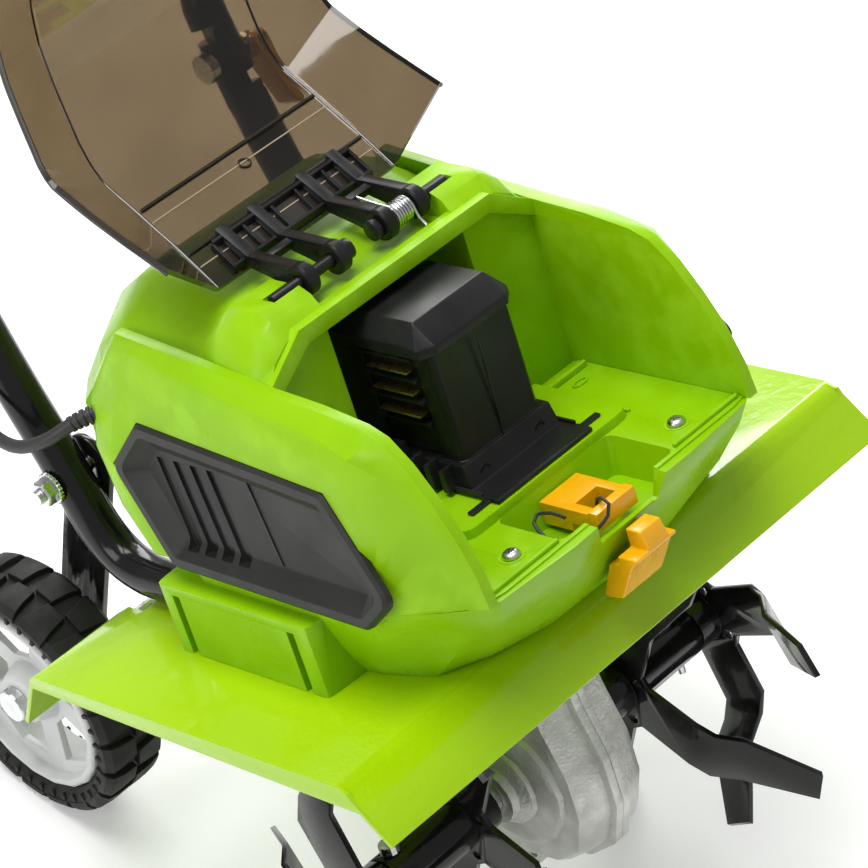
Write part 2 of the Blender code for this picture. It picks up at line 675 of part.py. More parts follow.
def build_spring(root):
    """Torsion spring round the right hinge pin, with one leg on the cowl and one on the lid."""
    turns, wire, radius, pitch = 6, 0.75, 5.6, 1.8
    start, steps = 21.1, 8
    path = [(start - 0.9, HINGE_Y + 19, HINGE_Z + 8.5), (start - 0.6, HINGE_Y + 12, HINGE_Z + 7.2),
            (start - 0.3, HINGE_Y + 5.5, HINGE_Z + 6.2)]
    for i in range(turns * steps + steps // 4 + 1):
        angle = pi / 2 + 2 * pi * i / steps
        path.append((start + pitch * i / steps, HINGE_Y + radius * cos(angle),
                     HINGE_Z + radius * sin(angle)))
    end = start + pitch * (turns + 0.25)
    path += [(end + 0.3, HINGE_Y - radius - 0.3, HINGE_Z - 2.6),
             (end + 0.5, HINGE_Y - radius - 0.9, HINGE_Z - 5.2)]
    make("torsion_spring", *pipe(path, wire, 5), "zinc_steel", root)


# ---------------------------------------------------------------- latch and key
def build_latch(root):
    outline = [(-27, -15), (-17.6, -15), (-17.6, -28.5), (-10.2, -30.5), (-1.0, -49.5), (-4.5, -50.4),
               (-13, -49), (-25.5, -29), (-29.5, -26), (-29.5, -22)]
    latch = make("lid_latch", *along_x(outline, -14, 14), "amber_plastic", root, (0, -6, -47))
    cut(latch, "step", box(-20, -5, -40, -15.5, -24.5, -10), root)
    cut(latch, "step_right", box(9, 20, -40, -15.5, -24.5, -10), root)
    return latch


def build_key(root):
    """Safety key: a loop handle on a block that plugs into the recess's rear wall."""
    at = (0, 10, -9)
    block = box(-13, 13, 8, 26.4, -17, -5)
    key = make("safety_key", *block, "amber_plastic", root, at)
    for side, label in ((-1, "left"), (1, "right")):
        add(key, label + "_bar", box(min(side * 7.5, side * 13), max(side * 7.5, side * 13), -9, 9,
                                     -12.6, -5), root)
    add(key, "front_bar", box(-13, 13, -11, -5, -13, -4), root)
    cord = [(-4, -2.4, -11), (-4, -2.2, -6), (-4.4, -4.4, -1.8), (-5, -8.5, -0.2), (-6, -13.2, -1.6),
            (-9, -13.8, -6),
            (-14.8, -12.4, -9), (-17, -8, -12), (-22, 2, -15), (-27, 12, -12), (-26, 18, -6.5),
            (-21, 20.5, -5.5),
            (-17, 15, -6), (-15.6, 8, -8)]
    path = smooth_path(cord, 4.0)
    make("key_tether", *pipe(path, 0.9, 6), "cord_rubber", root, at)


# ---------------------------------------------------------------- drive
GEARBOX_BOLTS = [(60, -118), (118, -241)]


def gearbox_half(side, name, root):
    """Half of the cast gearbox, hollow towards the split plane."""
    flange = [(66, -54), (64, -100), (58, -140), (50, -168), (50, -196), (60, -222), (82, -236),
              (112, -238), (140, -226), (162, -208), (178, -196), (180, -150), (180, -54)]
    rings = []
    for x, amount in ((GAP / 2, 0.0), (5.0, 0.0), (5.4, 4.0), (17, 5.5), (23, 9.0)):
        rings.append([(side * x, y, z) for y, z in rounded(inset(flange, amount), 5, 1)])
    half = make(name, *loft(rings), "cast_aluminium", root)
    boss = turned([(24, 20), (22, 30), (16, 33), (16, 38)], 16, TINE_Y, TINE_Z, side, closed=False)
    add(half, "boss", boss, root)
    ridge = turned([(38, 20), (37, 26), (33, 27.5)], 16, TINE_Y, TINE_Z, side, closed=False)
    add(half, "ridge", ridge, root)
    gear = turned([(WHEEL_GEAR_R + 2.5, -20), (WHEEL_GEAR_R + 2.5, 9)], 16, TINE_Y, TINE_Z, side,
                  closed=False)
    cut(half, "gear_room", gear, root)
    worm = upright([(WORM_R + 2.5, -216), (WORM_R + 2.5, -40)], 14, 0, WORM_Y)
    cut(half, "worm_room", worm, root)
    bore = turned([(TINE_SHAFT_R + GAP, -30), (TINE_SHAFT_R + GAP, 60)], 16, TINE_Y, TINE_Z, side,
                  closed=False)
    cut(half, "shaft_bore", bore, root)
    for index, (y, z) in enumerate(GEARBOX_BOLTS):
        hole = turned([(2.8, -10), (2.8, 14)], 8, y, z, side, closed=False)
        cut(half, "bolt_hole_%d" % (index + 1), hole, root)
        lug = turned([(6.4, GAP / 2), (6.4, 12.5)], 10, y, z, side, closed=False)
        add_before_holes(half, "lug_%d" % (index + 1), lug, root)
    return half


def add_before_holes(target, name, shape, parent):
    """A union placed ahead of the target's cuts."""
    add(target, name, shape, parent)
    target.modifiers.move(len(target.modifiers) - 1, 0)


def build_gearbox(root):
    gearbox_half(-1, "gearbox_half_left", root)
    gearbox_half(1, "gearbox_half_right", root)
    for index, (y, z) in enumerate(GEARBOX_BOLTS):
        profile = [(2.4, -11), (2.4, 12.5 + GAP), (4.6, 12.5 + GAP), (4.6, 18.5)]
        bolt = make("gearbox_bolt_%d" % (index + 1), *turned(profile, 12, y, z, 1, closed=False),
                    "zinc_steel", root)
        cut(bolt, "socket", turned([(2.0, 15.5), (2.0, 30)], 6, y, z, 1, closed=False), root)


def build_motor(root):
    can = [(MOTOR_R, -44), (MOTOR_R, 52), (MOTOR_R - 4, 56), (9, 56), (9, 61), (4.4, 61), (4.4, 53),
           (MOTOR_R - 2.5, 53), (MOTOR_R - 2.5, -41), (8, -41), (8, -44)]
    rings = [[(px, py, z) for px, py in circle(0, WORM_Y, radius, 16)] for radius, z in can]
    make("motor_can", *loft(rings, capped=False), "zinc_steel", root)
    shaft = [(WORM_R - 3, -210), (WORM_R, -207), (WORM_R, -156), (5.5, -153), (5.5, -36), (19, -34),
             (19, 40), (4.0, 42), (4.0, 59)]
    worm = upright(shaft, 14, 0, WORM_Y)
    make("worm_shaft", *worm, "zinc_steel", root, (0, WORM_Y, 0))


def build_tines(root):
    """Tine shaft with its worm wheel, and four stamped tines with bent blades."""
    at = (0, TINE_Y, TINE_Z)
    length = TINE_OUTER_X + 12
    shaft = turned([(TINE_SHAFT_R - 1, -length), (TINE_SHAFT_R, -length + 1.5),
                    (TINE_SHAFT_R, length - 1.5),
                    (TINE_SHAFT_R - 1, length)], 16, TINE_Y, TINE_Z, 1, closed=False)
    obj = make("tine_shaft", *shaft, "zinc_steel", root, at)
    for side, label in ((-1, "left"), (1, "right")):
        hole = upright([(2.3, TINE_Z - 30), (2.3, TINE_Z + 30)], 10, side * 104, TINE_Y)
        cut(obj, label + "_pin_hole", hole, root)
    teeth, depth = 20, 3.0
    rim = []
    for i in range(teeth * 4):
        angle = 2 * pi * i / (teeth * 4)
        reach = WHEEL_GEAR_R - (depth if i % 4 in (0, 3) else 0.0)
        rim.append((TINE_Y + reach * cos(angle), TINE_Z + reach * sin(angle)))
    gear = make("worm_wheel", *along_x(rim, -7, 7), "brass", root, at)
    bore = turned([(TINE_SHAFT_R + GAP, -20), (TINE_SHAFT_R + GAP, 20)], 16, TINE_Y, TINE_Z, 1,
                  closed=False)
    cut(gear, "bore", bore, root)
    return at


def blade_strip(angle, start, bend, reach, width, lean, side, x):
    """One stamped blade in rings: a flat arm that turns sideways at its end."""
    radial = Vector((0, cos(angle), sin(angle)))
    across = Vector((0, -sin(angle), cos(angle)))
    outward = Vector((side, 0, 0))
    centre = Vector((x, TINE_Y, TINE_Z))
    rings = []
    stations = [(start, 0.0, 0.0, width * 0.95), (bend, 0.0, 4.0, width),
                (bend + 10, 4.5 * lean, 9.0, width * 1.0),
                (bend + 20, 16.0 * lean, 14.0, width * 0.98), (reach, 34.0 * lean, 20.0, width * 0.62)]
    for index, (radius, shift, sweep, wide) in enumerate(stations):
        middle = centre + radial * radius + outward * shift + across * sweep
        turn = (0, 0.0, 0.35, 0.62, 0.72)[index] * lean
        normal = (outward * cos(turn * 1.2) - radial * sin(turn * 1.2)).normalized()
        half = TINE_PLATE / 2
        rings.append([middle + across * wide / 2 + normal * half,
                      middle - across * wide / 2 + normal * half,
                      middle - across * wide / 2 - normal * half,
                      middle + across * wide / 2 - normal * half])
    return loft(rings)


def tine_reach():
    """Blade reach that brings the lowest blade corners to the floor."""
    pitch = radians(PITCH)
    axis = -TINE_Y * sin(pitch) + TINE_Z * cos(pitch)
    return axis - GROUND


def build_tine(root, side, x, lean, name, turn):
    at = (0, TINE_Y, TINE_Z)
    plate = rounded([(TINE_Y + 34 * cos(radians(turn + 90 * i)), TINE_Z + 34 * sin(radians(turn + 90 * i)))
                     for i in range(4)], 4, 1)
    half = TINE_PLATE / 2
    tine = make(name, *along_x(plate, x - half, x + half), "black_paint", root, at)
    reach = tine_reach()
    for i in range(4):
        angle = radians(turn + 90 * i)
        strip = blade_strip(angle, 12, 50, reach * 0.962, 30, lean, side, x)
        add(tine, "blade_%d" % (i + 1), strip, root)
    if abs(x) < TINE_INNER_X + 1:
        hub = (44, 112)
    else:
        hub = (113, TINE_OUTER_X + 4)
    tube = turned([(TINE_HUB_R, hub[0]), (TINE_HUB_R, hub[1])], 16, TINE_Y, TINE_Z, side, closed=False)
    add(tine, "hub", tube, root)
    bore = turned([(TINE_SHAFT_R + GAP, 30), (TINE_SHAFT_R + GAP, 160)], 16, TINE_Y, TINE_Z, side,
                  closed=False)
    cut(tine, "bore", bore, root)
    if abs(x) < TINE_INNER_X + 1:
        hole = upright([(2.3, TINE_Z - 30), (2.3, TINE_Z + 30)], 10, side * 104, TINE_Y)
        cut(tine, "pin_hole", hole, root)
    for i in range(4):
        angle = radians(turn + 45 + 90 * i)
        y, z = TINE_Y + 19 * cos(angle), TINE_Z + 19 * sin(angle)
        hole = turned([(2.6, abs(x) - 6), (2.6, abs(x) + 6)], 8, y, z, side, closed=False)
        cut(tine, "bolt_hole_%d" % (i + 1), hole, root)


def build_tine_set(root):
    at = build_tines(root)
    for side, label in ((-1, "left"), (1, "right")):
        build_tine(root, side, side * TINE_INNER_X, 1, "inner_tine_" + label, 23)
        build_tine(root, side, side * TINE_OUTER_X, -1, "outer_tine_" + label, 68)
        x = side * 104
        profile = [(2.0, TINE_Z - 21), (2.0, TINE_Z + TINE_HUB_R + GAP), (5.2, TINE_Z + TINE_HUB_R + GAP),
                   (5.2, TINE_Z + TINE_HUB_R + 5)]
        make("tine_pin_" + label, *upright(profile, 12, x, TINE_Y), "zinc_steel", root, at)


# ---------------------------------------------------------------- wheels
def build_wheels(root):
    end = WHEEL_OUT + 4
    face = WHEEL_OUT - 2 + GAP
    half = [(9.0, end), (9.5, end - 1), (9.5, face), (AXLE_R, face)]
    profile = [(radius, -x) for radius, x in half] + [(radius, x) for radius, x in reversed(half)]
    axle = turned(profile, 16, AXLE_Y, AXLE_Z, 1, closed=False)
    make("wheel_axle", *axle, "zinc_steel", root, (0, SWING_Y, SWING_Z))
    for side, label in ((-1, "left"), (1, "right")):
        at = (0, AXLE_Y, AXLE_Z)
        middle = (WHEEL_IN + WHEEL_OUT) / 2
        tyre = [(RIM_R, WHEEL_IN + 5), (WHEEL_R - 9, WHEEL_IN + 0.5), (WHEEL_R - 2.5, WHEEL_IN + 2),
                (WHEEL_R, middle - 13), (WHEEL_R, middle + 13),
                (WHEEL_R - 2.5, WHEEL_OUT - 2), (WHEEL_R - 9, WHEEL_OUT - 0.5), (RIM_R, WHEEL_OUT - 5)]
        make("tyre_" + label, *turned(tyre, 32, AXLE_Y, AXLE_Z, side), "tyre_rubber", root, at)
        rim = [(RIM_R - GAP, WHEEL_IN + 6), (RIM_R - GAP, WHEEL_OUT - 4), (RIM_R - 2, WHEEL_OUT - 2.5),
               (RIM_R - 5, WHEEL_OUT - 2.5), (RIM_R - 6.5, WHEEL_OUT - 9), (18, WHEEL_OUT - 14),
               (15, WHEEL_OUT - 4),
               (13, WHEEL_OUT - 2), (AXLE_R + GAP, WHEEL_OUT - 2), (AXLE_R + GAP, WHEEL_IN + 4),
               (13, WHEEL_IN + 4),
               (15, WHEEL_OUT - 18), (RIM_R - 7, WHEEL_OUT - 14), (RIM_R - 5, WHEEL_IN + 6)]
        hub = make("wheel_hub_" + label, *turned(rim, 20, AXLE_Y, AXLE_Z, side), "grey_plastic", root, at)
        for i in range(5):
            angle = 2 * pi * i / 5 + 0.3
            window = []
            for reach, spread in ((22, -0.30), (43, -0.45), (46, 0.0), (43, 0.45), (22, 0.30)):
                window.append((AXLE_Y + reach * cos(angle + spread), AXLE_Z + reach * sin(angle + spread)))
            shape = along_x(window, min(side * 100, side * 140), max(side * 100, side * 140))
            cut(hub, "window_%d" % (i + 1), shape, root)


def build_brackets(root):
    ahead = atan2(AXLE_Z - SWING_Z, AXLE_Y - SWING_Y)
    for side, label in ((-1, "left"), (1, "right")):
        outline = []
        for i in range(9):
            angle = ahead + pi / 2 + pi * i / 8
            outline.append((SWING_Y + BRACKET_W / 2 * cos(angle), SWING_Z + BRACKET_W / 2 * sin(angle)))
        for i in range(9):
            angle = ahead - pi / 2 + pi * i / 8
            outline.append((AXLE_Y + BRACKET_W / 2 * cos(angle), AXLE_Z + BRACKET_W / 2 * sin(angle)))
        inner, outer = side * BRACKET_X, side * (BRACKET_X + BRACKET_T)
        arm = make("wheel_bracket_" + label, *along_x(outline, min(inner, outer), max(inner, outer)),
                   "black_paint", root, (0, SWING_Y, SWING_Z))
        cut(arm, "pivot_hole", turned([(4.3, 70), (4.3, 100)], 12, SWING_Y, SWING_Z, side,
                                      closed=False), root)
        cut(arm, "axle_hole", turned([(AXLE_R + GAP, 70), (AXLE_R + GAP, 100)], 14, AXLE_Y, AXLE_Z, side,
                                     closed=False), root)
        bolt = [(7.5, 77.5), (7.5, BRACKET_X - GAP), (4.0, BRACKET_X - GAP), (4.0, 110 + GAP),
                (9.0, 110 + GAP),
                (9.0, 113), (6.8, 114), (6.8, 118.5), (4.0, 118.5), (3.4, 122)]
        make("bracket_bolt_" + label, *turned(bolt, 12, SWING_Y, SWING_Z, side, closed=False),
             "zinc_steel", root)


# ---------------------------------------------------------------- handle
def handle_place(s, x=0.0, off=0.0):
    """A point s along the handle above the fold axis, off square to it towards the rear."""
    angle = radians(HANDLE_ANGLE)
    return Vector((x, FOLD_Y + s * cos(angle) + off * sin(angle),
                   FOLD_Z + s * sin(angle) - off * cos(angle)))


LOWER_ROUTE = [(150, -39.4), (180, -39.4), (216, -39.4), (233, -37.5), (247, -31), (257.5, -17), (266, 8),
               (273.5, 30.6), (281.4, 51.7), (290, 78), (297.5, 104)]


def build_lower_tubes(root):
    for side, label in ((-1, "left"), (1, "right")):
        route = [(side * TUBE_X, y, z) for y, z in LOWER_ROUTE]
        end = handle_place(LAP_BACK, side * TUBE_X)
        path = smooth_path(route, 22) + [handle_place(-LAP_CLEAR, side * TUBE_X), end]
        tube = make("lower_tube_" + label, *pipe(path, TUBE_R, 12, TUBE_R - TUBE_WALL), "black_paint", root)
        outer = side * (TUBE_X + 30)
        split = side * (TUBE_X - GAP / 2)
        lap = []
        for s, off in ((-LAP_CLEAR, -30), (-LAP_CLEAR, 30), (LAP_BACK + 20, 30), (LAP_BACK + 20, -30)):
            place = handle_place(s, 0, off)
            lap.append((place.y, place.z))
        cut(tube, "lap", along_x(lap, min(split, outer), max(split, outer)), root)
        cut(tube, "fold_hole", turned([(4.3, 80), (4.3, 120)], 10, FOLD_Y, FOLD_Z, side, closed=False),
            root)
        cut(tube, "pivot_hole", turned([(4.3, 80), (4.3, 120)], 10, SWING_Y, SWING_Z, side,
                                       closed=False), root)


def build_upper_handle(root):
    """One bent tube: half-laps at the fold axis, side tubes flaring out, and the grip bar."""
    at = (0, FOLD_Y, FOLD_Z)
    bend = 42.0
    half = []
    for s, x in ((-LAP_BACK, TUBE_X), (LAP_CLEAR, TUBE_X), (34, 101), (56, 113), (78, 124.5),
                 (96, HANDLE_HALF)):
        half.append(handle_place(s, x))
    for step in range(6):
        angle = pi / 2 * step / 5
        half.append(handle_place(HANDLE_LENGTH - bend + bend * sin(angle),
                                 HANDLE_HALF - bend + bend * cos(angle)))
    half.append(handle_place(HANDLE_LENGTH, 40))
    left = [Vector((-p.x, p.y, p.z)) for p in reversed(half)]
    path = half + left
    tube = make("upper_handle", *pipe(path, TUBE_R, 12, TUBE_R - TUBE_WALL), "black_paint", root, at)
    for side, label in ((-1, "left"), (1, "right")):
        inner, split = side * (TUBE_X - 30), side * (TUBE_X + GAP / 2)
        lap = []
        for s, off in ((LAP_CLEAR, -30), (LAP_CLEAR, 30), (-LAP_BACK - 20, 30), (-LAP_BACK - 20, -30)):
            place = handle_place(s, 0, off)
            lap.append((place.y, place.z))
        cut(tube, label + "_lap", along_x(lap, min(inner, split), max(inner, split)), root)
        cut(tube, label + "_fold_hole",
            turned([(4.3, 80), (4.3, 120)], 10, FOLD_Y, FOLD_Z, side, closed=False), root)
    return at


def build_grips(root):
    at = (0, FOLD_Y, FOLD_Z)
    for side, label in ((-1, "left"), (1, "right")):
        place = handle_place(HANDLE_LENGTH)
        profile = [(TUBE_R + GAP, 34), (14.2, 34), (15.5, 37), (15.5, 79), (14.2, 82), (TUBE_R + GAP, 82)]
        make("grip_" + label, *turned(profile, 20, place.y, place.z, side), "foam_rubber", root, at)
    bar = handle_place(HANDLE_LENGTH)
    outline = []
    for s, off in ((-58, -10), (-50, -20), (8, -22), (18, -14), (19, 12), (10, 20), (-46, 18), (-58, 8)):
        place = handle_place(HANDLE_LENGTH + s, 0, off)
        outline.append((place.y, place.z))
    body = make("switch_box", *along_x(outline, -31, 31), "lime_plastic", root, at, 25)
    clear = turned([(TUBE_R + GAP, -60), (TUBE_R + GAP, 60)], 20, bar.y, bar.z, 1, closed=False)
    cut(body, "bar_way", clear, root)
    button_at = handle_place(HANDLE_LENGTH - 26, 0, -7)
    out = handle_place(HANDLE_LENGTH - 26, 0, -40)
    cut(body, "button_way", pipe([button_at, out], 9.6, 20), root)
    hinge = handle_place(HANDLE_LENGTH - 46)
    cut(body, "bail_way", turned([(4.6, -60), (4.6, 60)], 16, hinge.y, hinge.z, 1, closed=False), root)
    start = handle_place(HANDLE_LENGTH - 26, 0, -12 - GAP)
    top = handle_place(HANDLE_LENGTH - 26, 0, -25)
    rim = handle_place(HANDLE_LENGTH - 26, 0, -27)
    make("lock_button", *button(start, top, rim), "amber_plastic", root, tuple(start))


def button(start, top, rim):
    """A round button with a softened end."""
    path = [start, top, rim]
    places = frames([Vector(point) for point in path])
    rings = []
    for (centre, one, two), radius in zip(places, (9.0, 9.0, 7.4)):
        rings.append([centre + one * radius * cos(2 * pi * i / 20) + two * radius * sin(2 * pi * i / 20)
                      for i in range(20)])
    return loft(rings)


def build_bail(root):
    """Wire bail: it turns in the switch box and its loop lies in front of the grip bar."""
    hinge = handle_place(HANDLE_LENGTH - 46)
    half = [handle_place(HANDLE_LENGTH - 46, 10), handle_place(HANDLE_LENGTH - 46, 36)]
    for s, x, off in ((-46, 46, 0), (-40, 60, -7), (-22, 72, -20), (2, 80, -34), (10, 84, -38)):
        half.append(handle_place(HANDLE_LENGTH + s, x, off))
    loop = [Vector((-p.x, p.y, p.z)) for p in reversed(half[1:])]
    middle = [handle_place(HANDLE_LENGTH - 46, x) for x in (-30, 30)]
    path = smooth_path(loop + middle + half[1:], 14)
    make("bail_lever", *pipe(path, 4.0, 10), "black_paint", root, tuple(hinge))


CAM_X = 118.5                    # cross pin of the quick-release levers
CAM_R = 4.7                      # cam nose radius
CAM_PROFILE = [(-12, 4.7), (-30, 5.2), (-39, 7.6), (-41.5, 6.0), (-39, 2.2), (-30, 0.0), (-16, -2.6),
               (-8, -4.0)]


def build_fold_hardware(root):
    """Cam bolts through the fold axis, with amber fork-ended quick-release levers outside."""
    for side, label in ((-1, "left"), (1, "right")):
        bolt = [(8.0, 82.0), (8.0, 88 - GAP), (4.0, 88 - GAP), (4.0, 110.6), (6.5, 110.6), (6.5, 113.4),
                (2.9, 113.4), (2.9, CAM_X + 2.5)]
        shank = make("fold_bolt_" + label, *turned(bolt, 12, FOLD_Y, FOLD_Z, side, closed=False),
                     "zinc_steel", root)
        ends = [handle_place(0, side * CAM_X, off) for off in (-8.6, 8.6)]
        add(shank, "cross_pin", pipe(ends, 2.2, 8), root)
        outline = [(CAM_R * cos(radians(a)), CAM_R * sin(radians(a))) for a in (-100, -60, -20, 20, 60,
                                                                                100)]
        outline += CAM_PROFILE
        rings = []
        for off, amount in ((-9.0, 0.8), (-8.2, 0.0), (8.2, 0.0), (9.0, 0.8)):
            rings.append([handle_place(s, side * (CAM_X + x), off) for s, x in inset(outline, amount)])
        pin = handle_place(0, side * CAM_X)
        lever = make("cam_lever_" + label, *loft(rings), "amber_plastic", root, tuple(pin))
        slot = [[handle_place(s, side * (CAM_X + x), off) for off, x in
                 ((-3.6, -12), (3.6, -12), (3.6, 12), (-3.6, 12))] for s in (-9, 12)]
        cut(lever, "fork_slot", loft(slot), root)
        bore = pipe([handle_place(0, side * CAM_X, off) for off in (-14, 14)], 2.6, 10)
        cut(lever, "pin_bore", bore, root)


# ---------------------------------------------------------------- cable
CABLE_LOWER = [(-101, 212, 62), (-112, 221, 60.5), (-124, 235, 54), (-129, 254, 50), (-127, 276, 54),
               (-118, 296, 64),
               (-102, 308, 80), (-86, 312, 102), (-75, 309, 124), (-72, 306.3, 137)]


def build_cable(root):
    route = smooth_path(CABLE_LOWER, 9)
    make("cable_lower", *pipe(route, 3.4, 8), "cord_rubber", root)
    upper = [handle_place(1.2, -72), handle_place(24, -75, 1), handle_place(60, -90, 3),
             handle_place(110, -108.5, 0),
             handle_place(160, -112.6, 0), handle_place(400, -112.6, 0), handle_place(600, -112.6, 0),
             handle_place(650, -108, 6), handle_place(690, -80, 14), handle_place(703, -50, 13),
             handle_place(704, -31.6, 12)]
    make("cable_upper", *pipe(smooth_path(upper, 22), 3.4, 8), "cord_rubber", root, (0, FOLD_Y, FOLD_Z))
    for index, s in enumerate((190, 420)):
        centre = handle_place(s, -HANDLE_HALF)
        side = handle_place(s, -112.6)
        one, two = handle_place(s - 5), handle_place(s + 5)
        direction = (two - one).normalized()
        cross = Vector((1, 0, 0))
        other = direction.cross(cross)
        rings = []
        for reach, big, small in ((-5, 13.6, 5.4), (5, 13.6, 5.4), (5, TUBE_R + GAP, 3.4 + GAP),
                                  (-5, TUBE_R + GAP, 3.4 + GAP)):
            ring = []
            for i in range(12):
                angle = radians(40 + 280 * i / 11)
                ring.append(centre + direction * reach + cross * big * cos(angle) + other * big * sin(angle))
            for i in range(8):
                angle = radians(-110 + 220 * i / 7)
                around = cross * small * cos(angle) + other * small * sin(angle)
                ring.append(side + direction * reach + around)
            rings.append(ring)
        make("cable_clip_%d" % (index + 1), *loft(rings, capped=False), "black_plastic", root,
             (0, FOLD_Y, FOLD_Z))


# ---------------------------------------------------------------- whole machine
def stand_on_floor(root):
    """Set the frame's place so the machine's box stands on z = 0, centred on the origin."""
    bpy.context.view_layer.update()
    graph = bpy.context.evaluated_depsgraph_get()
    low, high = Vector((1e9, 1e9, 1e9)), Vector((-1e9, -1e9, -1e9))
    for obj in bpy.context.scene.objects:
        if obj.type != "MESH" or obj.hide_render:
            continue
        shape = obj.evaluated_get(graph)
        mesh = shape.to_mesh()
        for vert in mesh.vertices:
            place = shape.matrix_world @ vert.co
            for axis in range(3):
                low[axis] = min(low[axis], place[axis])
                high[axis] = max(high[axis], place[axis])
        shape.to_mesh_clear()
    root.location = (-(low.x + high.x) / 2, -(low.y + high.y) / 2, -low.z)
    bpy.context.view_layer.update()


def main():
    clear_scene()
    root = bpy.data.objects.new("machine_frame", None)
    bpy.context.scene.collection.objects.link(root)
    root.rotation_euler = (-radians(PITCH), 0, 0)

    build_deck(root)
    build_tub(root)
    build_cowl(root)
    build_vent(root, -1, "vent_panel_left")
    build_vent(root, 1, "vent_panel_right")
    build_receptacle(root)
    build_blades(root)
    build_floor_screws(root)

    hinge = (0, HINGE_Y, HINGE_Z)
    pivot = bpy.data.objects.new("lid_pivot", None)
    bpy.context.scene.collection.objects.link(pivot)
    pivot.parent = root
    pivot.location = Vector(hinge) * MM
    pivot.rotation_euler = (-radians(LID_OPEN), 0, 0)
    shift = bpy.data.objects.new("lid_frame", None)
    bpy.context.scene.collection.objects.link(shift)
    shift.parent = pivot
    shift.location = Vector(hinge) * -MM
    build_lid(shift, hinge)
    build_hinge_arms(shift, hinge)
    build_hinge_pins(root)
    build_spring(root)

    build_latch(root)
    build_key(root)
    build_gearbox(root)
    build_motor(root)
    build_tine_set(root)
    build_wheels(root)
    build_brackets(root)
    build_lower_tubes(root)
    build_upper_handle(root)
    build_grips(root)
    build_bail(root)
    build_fold_hardware(root)
    build_cable(root)
    stand_on_floor(root)


main()
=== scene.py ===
"""Looks of the mini cultivator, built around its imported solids."""

import json
from math import cos, pi, radians, sin

import bmesh
import bpy
from mathutils import Matrix, Vector

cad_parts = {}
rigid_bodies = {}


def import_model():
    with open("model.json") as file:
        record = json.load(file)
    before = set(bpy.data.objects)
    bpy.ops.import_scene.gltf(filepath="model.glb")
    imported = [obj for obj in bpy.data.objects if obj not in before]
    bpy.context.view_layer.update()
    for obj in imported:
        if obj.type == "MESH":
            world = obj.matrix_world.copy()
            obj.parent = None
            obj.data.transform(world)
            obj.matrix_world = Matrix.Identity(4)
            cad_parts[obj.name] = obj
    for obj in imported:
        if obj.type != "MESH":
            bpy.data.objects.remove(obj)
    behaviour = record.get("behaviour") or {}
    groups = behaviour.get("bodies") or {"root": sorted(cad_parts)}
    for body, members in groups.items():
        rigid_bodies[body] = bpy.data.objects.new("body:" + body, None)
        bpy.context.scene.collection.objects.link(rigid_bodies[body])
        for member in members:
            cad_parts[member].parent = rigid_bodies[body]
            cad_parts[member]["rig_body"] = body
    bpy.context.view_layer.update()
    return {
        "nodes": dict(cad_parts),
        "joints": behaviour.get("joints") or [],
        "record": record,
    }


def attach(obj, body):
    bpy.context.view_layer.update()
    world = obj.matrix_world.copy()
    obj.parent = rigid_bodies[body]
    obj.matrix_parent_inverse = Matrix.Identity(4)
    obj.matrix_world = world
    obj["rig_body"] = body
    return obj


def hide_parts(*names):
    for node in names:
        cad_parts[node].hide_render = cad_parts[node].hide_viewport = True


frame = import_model()

MM = 0.001
PITCH = radians(21.84)                 # nose-up angle of the machine's own frame
FOLD_AT = Vector((0, 306, 138))        # fold axis in the machine's own frame, mm
JOINTS = {joint["name"]: joint for joint in frame["joints"]}
TURN = Matrix.Rotation(-PITCH, 4, "X")
ORIGIN = Vector(JOINTS["handle_fold"]["pos_m"]) - (TURN.to_3x3() @ FOLD_AT) * MM
OWN = Matrix.Translation(ORIGIN) @ TURN @ Matrix.Scale(MM, 4)

CAMERA_LENS = 146.56                   # mm
CAMERA_SENSOR = 36.0                   # mm
CAMERA_OFFSET = Vector((-0.8875, -0.7108, 1.1425))      # metres from ORIGIN
CAMERA_AIM = (0.5283, 0.4825, -0.6985)
CAMERA_UP = (0.516, 0.471, 0.716)
WORLD_STRENGTH = 0.42
SCREW_X = 57.75                        # bay screws, mm each side of the middle
SWING_AT = (267, 12)                   # bracket bolts, y and z in mm


# ---------------------------------------------------------------- camera
def look(position, towards, up):
    """The matrix of a camera or a light from its place, the direction it faces and up."""
    back = -Vector(towards).normalized()
    right = Vector(up).cross(back).normalized()
    level = back.cross(right)
    turn = Matrix((right, level, back)).transposed().to_4x4()
    return Matrix.Translation(position) @ turn


def build_camera():
    data = bpy.data.cameras.new("camera")
    data.lens = CAMERA_LENS
    data.sensor_width = CAMERA_SENSOR
    data.clip_start = 0.05
    camera = bpy.data.objects.new("camera", data)
    bpy.context.scene.collection.objects.link(camera)
    camera.matrix_world = look(ORIGIN + CAMERA_OFFSET, CAMERA_AIM, CAMERA_UP)
    bpy.context.scene.camera = camera


